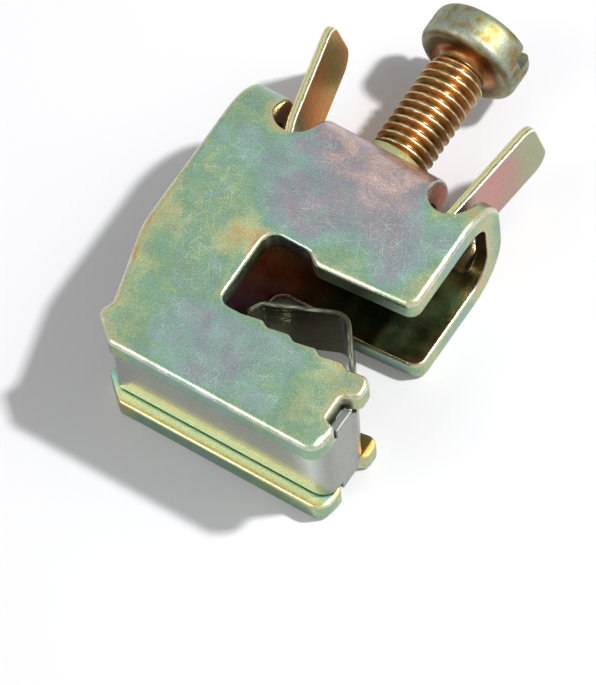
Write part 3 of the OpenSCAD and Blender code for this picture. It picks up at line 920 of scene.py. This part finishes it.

# %% [markdown]
# The bath reaches some places less. Cut faces took a thicker film, the collar an even one, and the
# walls of the ear slots an orange one. Inner faces stay near the yellow end. The walls deep in the
# busbar slot, less the walls of the ear slots, and the rear lips of the ear slots are darkened as
# painted shade. Edges with a wide roll count as rubbed and lit: they get bare-zinc wear and a painted
# highlight.

# %% Film on cut faces, painted shade in slots, rubbed and lit edges
COLLAR_FILM = 0.26
WALL_FILM_RIGHT, WALL_FILM_LEFT, WALL_FILM_REAR = -0.2, -0.07, 0.3
CUT_MORE_FRONT, CUT_MORE_REAR = 0.1, 0.08
INNER_FILM, INNER_DRIFT = 0.1, 0.35
SLOT_SHADE, LIP_SHADE = 0.45, 0.75

x, y, z = body_places.T
body_cut, body_depth, body_edge = (read_layer(body_sheet.data, key) for key in ("cut", "inner", "edge_mm"))
in_front = z > MID_Z
body_film = body_film + np.where(in_front, CUT_MORE_FRONT, CUT_MORE_REAR) * body_cut
body_film = np.where(np.hypot(x, z - MID_Z) < COLLAR_R + 0.01, COLLAR_FILM, body_film)
near_slot = (np.abs(np.abs(x) - EAR_REACH) < SLOT_HALF + 0.1) & (y > RIDGE - SLOT_DROP - 0.1)
wall_film = np.where(in_front, np.where(x > 0, WALL_FILM_RIGHT, WALL_FILM_LEFT), WALL_FILM_REAR)
body_film = np.where(near_slot & (body_cut > 0.1), wall_film, body_film)
inside_share = smooth_step((body_depth - 0.8) / 0.15)
inner_film = INNER_FILM + INNER_DRIFT * body_film
body_film = body_film * (1 - inside_share) + inner_film * inside_share

# Painted shade: the cut walls deep in the busbar slot, the ear slots' walls and their rear lips are marked
# for dark brown.
in_bar_slot = smooth_step((x - WALL + 0.6) / 0.3) * smooth_step((9 - x) / 5)
in_bar_slot = in_bar_slot * (y > VALLEY - 0.5) * (y < JAW + 1.4)
in_bar_slot = in_bar_slot * (1 - 0.5 * smooth_step((x - RELIEF_END) / 2) * (y > JAW - 0.5))
shade = np.maximum(in_bar_slot, SLOT_SHADE * near_slot) * body_cut
rear_lip = (near_slot & ~in_front) * smooth_step((0.5 - body_edge) / 0.3)
shade = np.maximum(shade, LIP_SHADE * rear_lip)
blank_x, blank_run, _ = read_layer(body_sheet.data, "blank", 3).T
# Share of a wide roll: it marks bare-zinc wear and a painted highlight on the edge.
rubbed_and_lit = np.clip((body_roll(blank_x, blank_run) - 0.18) / 0.3, 0, 1)
for key, values in (("film", body_film), ("painted_slot_shade", shade), ("rubbed_and_lit", rubbed_and_lit)):
    write_layer(body_sheet.data, key, values)
print("shaded points", int((shade > 0.5).sum()), "rubbed points", int((rubbed_and_lit > 0.5).sum()))

# %% [markdown]
# A few recipes keep the finishes short. Clouds and grain swing a film about its drift. Scratches are
# noise stretched long and thin in several directions, kept only at its peaks. Specks darken and lighten
# a tint like the grain of zinc. Both are finer than a pixel on the real clamp, so they are drawn about
# as coarse as a pixel. The last one ends a recipe with a metal. Photographs of metal could give such
# detail, but a recipe has no seams and fits every piece.

# %% Recipes for chromated metal
def cloudy(tree, where, start, cloud_mm, grain_mm, cloud, grain):
    """Film with clouds and grain of the given sizes added, each swinging about zero."""
    clouds = add(tree, "TexNoise", {"Vector": where, "Scale": 1 / (cloud_mm * MM), "Detail": 7.0,
                                    "Roughness": 0.62, "Distortion": 1.0})
    grains = add(tree, "TexNoise", {"Vector": where, "Scale": 1 / (grain_mm * MM), "Detail": 2.0})
    clouds = add(tree, "Math", {0: clouds, 1: 2 * cloud, 2: -cloud}, operation="MULTIPLY_ADD")
    grains = add(tree, "Math", {0: grains, 1: 2 * grain, 2: -grain}, operation="MULTIPLY_ADD")
    both = add(tree, "Math", {0: clouds, 1: grains}, operation="ADD")
    return add(tree, "Math", {0: both, 1: start}, operation="ADD")


def scratches_of(tree, where, turns_deg, wide_mm, long_mm, rare):
    """Scratches in each direction of turns_deg: 0 where the stretched noise is under rare, 1 at peaks."""
    total = 0.0
    for k, turn in enumerate(turns_deg):
        aside = add(tree, "Mapping", {"Vector": where, "Rotation": (0, 0, np.radians(turn)),
                                      "Location": (13 * MM * k, 7 * MM * k, 0)})
        stretch = (1 / (long_mm * MM), 1 / (wide_mm * MM), 0.3 / MM)
        aside = add(tree, "VectorMath", {0: aside, 1: stretch}, operation="MULTIPLY")
        streaks = add(tree, "TexNoise", {"Vector": aside, "Scale": 1.0, "Detail": 1.0})
        peaks = add(tree, "MapRange", {0: streaks, 1: rare, 2: rare + 0.08})
        total = add(tree, "Math", {0: total, 1: peaks}, operation="MAXIMUM")
    return total


def speckled(tree, where, tint, speck_mm, dark, light):
    """Tint times a fine noise that runs from dark to light."""
    specks = add(tree, "TexNoise", {"Vector": where, "Scale": 1 / (speck_mm * MM), "Detail": 2.0})
    specks = add(tree, "MapRange", {0: specks, 1: 0.3, 2: 0.7, 3: dark, 4: light})
    return add(tree, "Mix", {0: 1.0, 6: tint, 7: specks}, data_type="RGBA", blend_type="MULTIPLY")


def metal_surface(piece, material, tint, rough, height, strength, deep_mm, slant_hue="#ffffff"):
    """Ends a recipe: metal of this tint and roughness with a fine relief, put on a piece. The slant hue
    is what it mirrors where the eye looks along it."""
    tree = material.node_tree
    relief = add(tree, "Bump", {"Height": height, "Strength": strength, "Distance": deep_mm * MM})
    metal = add(tree, "BsdfPrincipled", {"Base Color": tint, "Metallic": 1.0, "Roughness": rough,
                                         "Normal": relief, "Specular Tint": colour(slant_hue)})
    add(tree, "OutputMaterial", {"Surface": metal})
    piece.data.materials.append(material)
    print(material.name, "on", piece.name, len(tree.nodes), "nodes")


print("recipes for clouds, scratches, specks and metal")

# %% [markdown]
# On the cheeks the film meets its ramp. Clouds of a few millimetres and grain of a tenth break up the
# drift, and near the edges the film thins to a yellow fringe, because it drains there as it dries.

# %% Rainbow on the body
FILM_STOPS = [(0.0, "#b88f5c"), (0.13, "#bdb280"), (0.26, "#a6b68c"), (0.4, "#84a688"), (0.54, "#8daaa0"),
              (0.68, "#929d9f"), (0.82, "#9e969b"), (0.92, "#b8a5a3"), (1.0, "#d2b6b0")]

# Chromated zinc is a metal under a thin clear film, so it gives the eye a satin mirror with drifting
# colours: green and blue-grey on the faces, yellow at the edges.
body_material, tree = new_material("Yellow chromated zinc on folded steel")
where = add(tree, "TexCoord").outputs["Object"]
place_x, place_y = add(tree, "SeparateXYZ", {0: where}).outputs[:2]
drift, edge_mm, cut, inner, painted_slot_shade, worn_and_lit_share = (
    add(tree, "Attribute", attribute_name=key).outputs["Fac"]
    for key in ("film", "edge_mm", "cut", "inner", "painted_slot_shade", "rubbed_and_lit"))
film = cloudy(tree, where, drift, cloud_mm=2.8, grain_mm=0.14, cloud=0.34, grain=0.16)
fringe = add(tree, "MapRange", {0: edge_mm, 1: 0.4, 2: 0.9, 3: -0.12, 4: 0.0})
film = add(tree, "Math", {0: film, 1: fringe}, operation="ADD")
rainbow = add(tree, "ValToRGB", {0: film}, stops=FILM_STOPS)
print("ramp of", len(FILM_STOPS), "stops")

# %% [markdown]
# Inside, the cheeks mirror each other and the wire space, and the tints paint that in: their hues are
# darkened as painted shade, with teal as a painted reflection. Green behind the busbar slot with a pale
# painted highlight along the burr, mauve to copper up the closed wall, pale green on the lower lip, and
# gold on the torn faces of the hooks. The walls of the ear slots are orange, and the painted shade of the
# slots is dark brown.
# Each tint has its own mask, from the place in millimetres or from a number kept on the points.

# %% Inner faces of the body
# Painted shade and reflection: the inner green runs dark, with teal as a painted reflection.
green = add(tree, "ValToRGB", {0: film}, stops=[(0.1, "#6b5a34"), (0.25, "#5a5c36"), (0.42, "#4a5f42"),
                                                (0.62, "#4f7e72")])
# Painted highlight: a pale line along the burr at the inner edges.
burr_highlight = add(tree, "MapRange", {0: edge_mm, 1: 0.3, 2: 0.05, 3: 0.0, 4: 0.8})
green = add(tree, "Mix", {0: burr_highlight, 6: green, 7: colour("#e0deca")}, data_type="RGBA")
up_wall = add(tree, "MapRange", {0: place_y, 1: (JAW - 2.0) * MM, 2: (JAW + 5.0) * MM})
up_wall = add(tree, "Math", {0: film, 1: 0.3, 2: up_wall}, operation="MULTIPLY_ADD")
brown = add(tree, "ValToRGB", {0: up_wall}, stops=[(0.15, "#6a5060"), (0.45, "#80584e"), (0.75, "#9c5a38"),
                                                   (1.0, "#846840")])
toward_wall = add(tree, "MapRange", {0: place_x, 1: 1.5 * MM, 2: -2.5 * MM})
inner_tint = add(tree, "Mix", {0: toward_wall, 6: green, 7: brown}, data_type="RGBA")
up_lip = add(tree, "MapRange", {0: place_y, 1: BOTTOM * MM, 2: (BOTTOM + 2.0) * MM})
up_lip = add(tree, "Math", {0: film, 1: 0.35, 2: up_lip}, operation="MULTIPLY_ADD")
lip = add(tree, "ValToRGB", {0: up_lip}, stops=[(0.06, "#c4b478"), (0.24, "#e0d89a"), (0.5, "#d6e8b0"),
                                                (0.75, "#a8dcc0"), (1.0, "#9cd6c4")])
on_lip = add(tree, "MapRange", {0: place_y, 1: (BOTTOM + 3.4) * MM, 2: (BOTTOM + 1.6) * MM})
inner_tint = add(tree, "Mix", {0: on_lip, 6: inner_tint, 7: lip}, data_type="RGBA")
on_hook = add(tree, "MapRange", {0: place_x, 1: (RIGHT + 0.02) * MM, 2: (RIGHT + 0.2) * MM})
inner_tint = add(tree, "Mix", {0: on_hook, 6: inner_tint, 7: colour("#f8c068")}, data_type="RGBA")
is_inner = add(tree, "MapRange", {0: inner, 1: 0.9, 2: 0.98})
tint = add(tree, "Mix", {0: is_inner, 6: rainbow, 7: inner_tint}, data_type="RGBA")
on_slot_wall = add(tree, "MapRange", {0: drift, 1: -0.04, 2: -0.14, 3: 0.0, 4: 0.9})
tint = add(tree, "Mix", {0: on_slot_wall, 6: tint, 7: colour("#d87018")}, data_type="RGBA")
# Painted shade: dark brown where the slot walls and rear lips are marked.
tint = add(tree, "Mix", {0: painted_slot_shade, 6: tint, 7: colour("#483c24")}, data_type="RGBA")
print("colours of the body take", len(tree.nodes), "nodes")

# %% [markdown]
# Handling leaves fine pale scratches in patches, and the film is knocked off the rubbed edges, where
# bare zinc shows; the same pale edge colour also stands as a painted highlight along the wide rolled
# edges. Inner and cut faces are out of reach and stay as they were.

# %% Wear on the body
SCRATCH_TURNS = (15, 62, 108, 155)
scratch = scratches_of(tree, where, SCRATCH_TURNS, wide_mm=0.06, long_mm=1.5, rare=0.66)
patches = add(tree, "TexNoise", {"Vector": where, "Scale": 1 / (5.0 * MM), "Detail": 2.0})
worn = add(tree, "MapRange", {0: patches, 1: 0.42, 2: 0.62, 3: 0.1, 4: 0.66})
off_face = add(tree, "Math", {0: is_inner, 1: cut}, operation="MAXIMUM")
worn = add(tree, "Mix", {0: off_face, 2: worn, 3: 0.04})
scuff = add(tree, "Math", {0: scratch, 1: worn}, operation="MULTIPLY")
tint = add(tree, "Mix", {0: scuff, 6: tint, 7: colour("#d4d8d2")}, data_type="RGBA")
# Pale edges: bare zinc where rubbed, and a painted highlight along the wide rolled edges.
bare_and_highlight = add(tree, "MapRange", {0: edge_mm, 1: 0.05, 2: 0.42, 3: 1.0, 4: 0.0})
knocks = add(tree, "TexNoise", {"Vector": where, "Scale": 1 / (1.1 * MM), "Detail": 4.0})
knocks = add(tree, "MapRange", {0: knocks, 1: 0.38, 2: 0.56, 3: 0.3, 4: 0.95})
for limit in (knocks, worn_and_lit_share):
    bare_and_highlight = add(tree, "Math", {0: bare_and_highlight, 1: limit}, operation="MULTIPLY")
bare_and_highlight = add(tree, "Mix", {0: off_face, 2: bare_and_highlight, 3: 0.0})
tint = add(tree, "Mix", {0: bare_and_highlight, 6: tint, 7: colour("#dcd6c8")}, data_type="RGBA")
tint = speckled(tree, where, tint, 0.11, 0.76, 1.2)
print("scratches in", len(SCRATCH_TURNS), "directions")

# %% [markdown]
# The sheen changes too: rubbed edges shine a little more than the faces, cut faces less, and the torn
# faces of the hooks least. Pits of a third of a millimetre are deeper near the edges.

# %% Sheen and pits of the body
dull = add(tree, "TexNoise", {"Vector": where, "Scale": 1 / (1.6 * MM), "Detail": 4.0})
rough = add(tree, "MapRange", {0: dull, 1: 0.3, 2: 0.7, 3: 0.26, 4: 0.4})
polish = add(tree, "MapRange", {0: edge_mm, 1: 0.1, 2: 0.6, 3: -0.07, 4: 0.0})
rough = add(tree, "Math", {0: rough, 1: polish}, operation="ADD")
rough = add(tree, "Math", {0: cut, 1: 0.12, 2: rough}, operation="MULTIPLY_ADD")
torn = add(tree, "Math", {0: on_hook, 1: is_inner}, operation="MULTIPLY")
rough = add(tree, "Math", {0: torn, 1: 0.35, 2: rough}, operation="MULTIPLY_ADD")
pits = add(tree, "TexNoise", {"Vector": where, "Scale": 1 / (0.35 * MM), "Detail": 3.0})
dented = add(tree, "MapRange", {0: edge_mm, 1: 0.05, 2: 0.7, 3: 0.5, 4: 0.12})
metal_surface(body_sheet, body_material, tint, rough, pits, dented, 0.05)

# %% [markdown]
# The screw has the same finish in its brown-gold shade. The thread's crests are pale, partly rubbed zinc
# and partly painted highlight, and its roots are dark as painted shade. The crest number that shaped the
# thread also colours it, so no separate mask is needed.

# %% Thread of the screw
# The same chromated zinc on a turned part gives the eye orange and olive lines that follow the helix.
screw_material, tree = new_material("Brown-gold chromated zinc on turned steel")
where = add(tree, "TexCoord").outputs["Object"]
place_y = add(tree, "SeparateXYZ", {0: where}).outputs["Y"]
crest_share = add(tree, "Attribute", attribute_name="crest").outputs["Fac"]
# Painted highlight and shade: pale crests, partly rubbed zinc, and dark roots.
rub_and_light = add(tree, "TexNoise", {"Vector": where, "Scale": 1 / (0.9 * MM), "Detail": 3.0})
rub_and_light = add(tree, "Math", {0: rub_and_light, 1: 0.6, 2: -0.3}, operation="MULTIPLY_ADD")
rub_and_light = add(tree, "Math", {0: crest_share, 1: rub_and_light}, operation="ADD")
orange = add(tree, "ValToRGB", {0: rub_and_light}, stops=[(0.0, "#7c5a3a"), (0.35, "#b0804e"), (0.7, "#bc8c54"),
                                                (0.93, "#a48a5e"), (1.0, "#c4b48e")])
olive = add(tree, "ValToRGB", {0: rub_and_light}, stops=[(0.0, "#665634"), (0.35, "#988250"), (0.7, "#a89260"),
                                               (0.93, "#9c8e62"), (1.0, "#cac4a0")])
hues = add(tree, "TexNoise", {"Vector": where, "Scale": 1 / (1.5 * MM), "Detail": 3.0})
hue = add(tree, "MapRange", {0: hues, 1: 0.47, 2: 0.66})
thread_tint = add(tree, "Mix", {0: hue, 6: orange, 7: olive}, data_type="RGBA")
print("the thread takes", len(tree.nodes), "nodes")

# %% [markdown]
# The head is greyer, with olive and brown clouds and a pale painted highlight along its lower rim.
# Under the head the tint runs from orange at the neck to grey at the skirt, and the pin below the thread
# is painted dark as painted shade.

# %% Head and pin of the screw
around = add(tree, "VectorMath", {0: where, 1: (1.0, 0.7, 1.0)}, operation="MULTIPLY")
clouds = add(tree, "TexNoise", {"Vector": around, "Scale": 1 / (1.7 * MM), "Detail": 4.0,
                                "Roughness": 0.56})
head_tint = add(tree, "ValToRGB", {0: clouds}, stops=[(0.34, "#6a5432"), (0.41, "#7c7446"),
                                                      (0.47, "#848868"), (0.53, "#8c9182"),
                                                      (0.6, "#88805e"), (0.68, "#86704e")])
# Painted highlight: a pale grey line along the head's lower rim.
rim_from = add(tree, "MapRange", {0: place_y, 1: (HEAD_LOW + 0.15) * MM, 2: (HEAD_LOW + 0.35) * MM})
rim_to = add(tree, "MapRange", {0: place_y, 1: (HEAD_LOW + 0.95) * MM, 2: (HEAD_LOW + 0.55) * MM})
rim_highlight = add(tree, "Math", {0: rim_from, 1: rim_to}, operation="MULTIPLY")
rim_highlight = add(tree, "Math", {0: rim_highlight, 1: 0.4}, operation="MULTIPLY")
head_tint = add(tree, "Mix", {0: rim_highlight, 6: head_tint, 7: colour("#a0aaa4")}, data_type="RGBA")
on_head = add(tree, "MapRange", {0: place_y, 1: (HEAD_LOW + 0.02) * MM, 2: (HEAD_LOW + 0.2) * MM})
tint = add(tree, "Mix", {0: on_head, 6: thread_tint, 7: head_tint}, data_type="RGBA")

off_axis = add(tree, "VectorMath", {0: where, 1: (1.0, 0.0, 1.0), 2: (0.0, 0.0, -MID_Z * MM)},
               operation="MULTIPLY_ADD")
from_axis = add(tree, "VectorMath", {0: off_axis}, operation="LENGTH")
outward = add(tree, "MapRange", {0: from_axis, 1: (MAJOR_R - 0.3) * MM, 2: (HEAD_R - SKIRT / 2) * MM})
outward = add(tree, "Math", {0: hues, 1: 0.9, 2: outward}, operation="MULTIPLY_ADD")
outward = add(tree, "Math", {0: outward, 1: 0.45}, operation="SUBTRACT")
under_tint = add(tree, "ValToRGB", {0: outward}, stops=[(0.0, "#bc8048"), (0.25, "#9c6440"),
                                                        (0.5, "#6a5434"), (0.75, "#7d764e"),
                                                        (1.0, "#96967e")])
under = add(tree, "MapRange", {0: place_y, 1: (HEAD_LOW - 0.5) * MM, 2: HEAD_LOW * MM})
under = add(tree, "Math", {0: under, 1: on_head}, operation="SUBTRACT")
tint = add(tree, "Mix", {0: under, 6: tint, 7: under_tint}, data_type="RGBA")
# Painted shade: the pin below the thread is darkened.
below = add(tree, "MapRange", {0: place_y, 1: (TIP + 0.2) * MM, 2: TIP * MM})
tint = add(tree, "Mix", {0: below, 6: tint, 7: colour("#43331f")}, data_type="RGBA")
tint = speckled(tree, where, tint, 0.14, 0.84, 1.12)
dull = add(tree, "TexNoise", {"Vector": where, "Scale": 1 / (0.8 * MM), "Detail": 4.0})
rough = add(tree, "MapRange", {0: dull, 1: 0.3, 2: 0.7, 3: 0.3, 4: 0.44})
rough = add(tree, "Math", {0: on_head, 1: 0.1, 2: rough}, operation="MULTIPLY_ADD")
metal_surface(slotted_screw, screw_material, tint, rough, dull, 0.15, 0.05)

# %% [markdown]
# The two ears took the film differently: one is orange turning olive, the other pink turning green.
# Both come from one recipe with its own ramp along the ear. A sheared edge is shiny near the face where
# the blade went in and torn beyond, so its tint runs across the thickness; the near-white of the shiny
# band is partly painted highlight.

# %% Chromated zinc on the plate
STREAKS_PER_MM = (0.25, 5.0, 5.0)
# Near-white stops for the shiny band: partly its own colour, partly painted highlight.
SHEARED_LIT_STOPS = [(0.26, "#f8f6e4"), (0.36, "#efecd2"), (0.45, "#6e6638"), (0.56, "#beb87c"),
                 (0.75, "#dcd8b0"), (0.9, "#a8a068"), (1.0, "#d8d5a8")]


def ear_finish(piece, name, slant_hue, shiny_side, stops):
    """Chromated zinc whose film follows the height of the ear, with clouds, grain and rolling streaks.
    The slant hue is what the film keeps where the eye looks along the ear. Shiny_side is 0 if the blade
    went in at the outer face, 1 for the inner one."""
    material, tree = new_material(name)
    where = add(tree, "TexCoord").outputs["Object"]
    place_y = add(tree, "SeparateXYZ", {0: where}).outputs["Y"]
    blank = add(tree, "Attribute", attribute_name="blank").outputs["Vector"]
    inner, edge_mm = (add(tree, "Attribute", attribute_name=key).outputs["Fac"]
                      for key in ("inner", "edge_mm"))
    climb = add(tree, "MapRange", {0: place_y, 1: 6.0 * MM, 2: 17.5 * MM})
    film = cloudy(tree, where, climb, cloud_mm=3.0, grain_mm=0.25, cloud=0.32, grain=0.08)
    stretched = add(tree, "VectorMath", {0: blank, 1: STREAKS_PER_MM}, operation="MULTIPLY")
    streaks = add(tree, "TexNoise", {"Vector": stretched, "Scale": 1.0, "Detail": 2.0})
    film = add(tree, "Math", {0: streaks, 1: 0.3, 2: film}, operation="MULTIPLY_ADD")
    film = add(tree, "Math", {0: film, 1: 0.15}, operation="SUBTRACT")
    tint = add(tree, "ValToRGB", {0: film}, stops=stops)
    # Painted shade: below the ridge, where the plate runs inside the body, the tint goes to a dark olive.
    clear_of_root_shade = add(tree, "MapRange", {0: place_y, 1: (RIDGE - 1.5) * MM, 2: RIDGE * MM})
    tint = add(tree, "Mix", {0: clear_of_root_shade, 6: colour("#66663a"), 7: tint}, data_type="RGBA")
    across = add(tree, "MapRange", {0: inner, 3: shiny_side, 4: 1.0 - shiny_side})
    grains = add(tree, "TexNoise", {"Vector": where, "Scale": 1 / (0.3 * MM), "Detail": 3.0})
    across = add(tree, "Math", {0: grains, 1: 0.4, 2: across}, operation="MULTIPLY_ADD")
    sheared = add(tree, "ValToRGB", {0: across}, stops=SHEARED_LIT_STOPS)
    arris = add(tree, "MapRange", {0: edge_mm, 1: 0.06, 2: 0.19, 3: 1.0, 4: 0.0})
    tint = add(tree, "Mix", {0: arris, 6: tint, 7: sheared}, data_type="RGBA")
    rough = add(tree, "MapRange", {0: streaks, 1: 0.3, 2: 0.7, 3: 0.22, 4: 0.34})
    metal_surface(piece, material, tint, rough, streaks, 0.1, 0.04, slant_hue)


# Thin springy ears give the eye a smooth mirror with one warm and one rosy colour, and pale edges that are
# partly painted highlight.
ear_finish(left_half, "Orange chromated zinc on the left ear", "#fff6dc", 0.0,
           [(0.0, "#b45800"), (0.5, "#b86800"), (0.68, "#887c18"), (0.82, "#a45c18"), (1.0, "#946c3c")])
ear_finish(right_half, "Pink chromated zinc on the right ear", "#ffffff", 1.0,
           [(0.0, "#ac8a80"), (0.4, "#b97e76"), (0.58, "#ac8478"), (0.72, "#9a9a70"), (1.0, "#96a27c")])

# %% [markdown]
# The spring is bare rolled steel. It is nearly a mirror, so most of what it shows is its neighbours:
# the yellow of the cheek below and the white paper. Its sheared edges are duller, its bent end is
# painted darker as painted shade, and its leaf, which faces the dark slot, is painted browner and darker
# as painted shade, with its edges darkest near the crest as a painted shadow of the jaw.

# %% Tints of the spring
TEARS_PER_MM = (0.9, 0.9, 7.0)

# Bright rolled steel gives the eye long faint lines along the strip and clear mirror images.
spring_material, tree = new_material("Bright rolled spring steel")
where = add(tree, "TexCoord").outputs["Object"]
place_x, place_y = add(tree, "SeparateXYZ", {0: where}).outputs[:2]
blank = add(tree, "Attribute", attribute_name="blank").outputs["Vector"]
cut, edge_mm = (add(tree, "Attribute", attribute_name=key).outputs["Fac"] for key in ("cut", "edge_mm"))
# Painted shade: the bent-up end is darker.
bent_end_shade = add(tree, "MapRange", {0: place_x, 1: (fold_x - 1.4) * MM, 2: fold_x * MM})
tint = add(tree, "Mix", {0: bent_end_shade, 6: colour("#c4c8c1"), 7: colour("#8f938b")}, data_type="RGBA")
# Painted shade: the leaf and its mottled edges are darker and browner.
leaf_shade = add(tree, "MapRange", {0: place_y, 1: (fold_y - 1.0) * MM, 2: (fold_y + 1.0) * MM})
tint = add(tree, "Mix", {0: leaf_shade, 6: tint, 7: colour("#68664f")}, data_type="RGBA")
tears = add(tree, "VectorMath", {0: blank, 1: TEARS_PER_MM}, operation="MULTIPLY")
tears = add(tree, "TexNoise", {"Vector": tears, "Scale": 1.0, "Detail": 3.0})
leaf_edge = add(tree, "ValToRGB", {0: tears}, stops=[(0.36, "#36372f"), (0.5, "#5c5e52"),
                                                     (0.62, "#858777")])
edge_tint = add(tree, "Mix", {0: leaf_shade, 6: colour("#6f7374"), 7: leaf_edge}, data_type="RGBA")
# Painted shadow of the jaw: the leaf's edges darken near the crest.
crest_place = (crest_at[0] * MM, crest_at[1] * MM, (MID_Z + LEAF_HALF_W) * MM)
from_crest = add(tree, "VectorMath", {0: where, 1: crest_place}, operation="DISTANCE")
jaw_shadow_at_crest = add(tree, "MapRange", {0: from_crest, 1: 2.4 * MM, 2: 1.0 * MM})
edge_tint = add(tree, "Mix", {0: jaw_shadow_at_crest, 6: edge_tint, 7: colour("#3c3b30")}, data_type="RGBA")
tint = add(tree, "Mix", {0: cut, 6: tint, 7: edge_tint}, data_type="RGBA")
print("the crest of the leaf is at", crest_at.round(2))

# %% [markdown]
# Rolling leaves lines along the strip, and the blade leaves a dull edge. Both follow the flat blank,
# so they bend with the strip.

# %% Sheen of the spring
LINES_PER_MM = (0.12, 8.0, 8.0)
rolled = add(tree, "VectorMath", {0: blank, 1: LINES_PER_MM}, operation="MULTIPLY")
rolled = add(tree, "TexNoise", {"Vector": rolled, "Scale": 1.0, "Detail": 2.0})
rough = add(tree, "MapRange", {0: rolled, 1: 0.3, 2: 0.7, 3: 0.2, 4: 0.3})
sheared = add(tree, "MapRange", {0: edge_mm, 1: 0.05, 2: 0.15, 3: 0.35, 4: 0.0})
rough = add(tree, "Math", {0: sheared, 1: rough}, operation="ADD")
metal_surface(retaining_spring, spring_material, tint, rough, rolled, 0.05, 0.02)
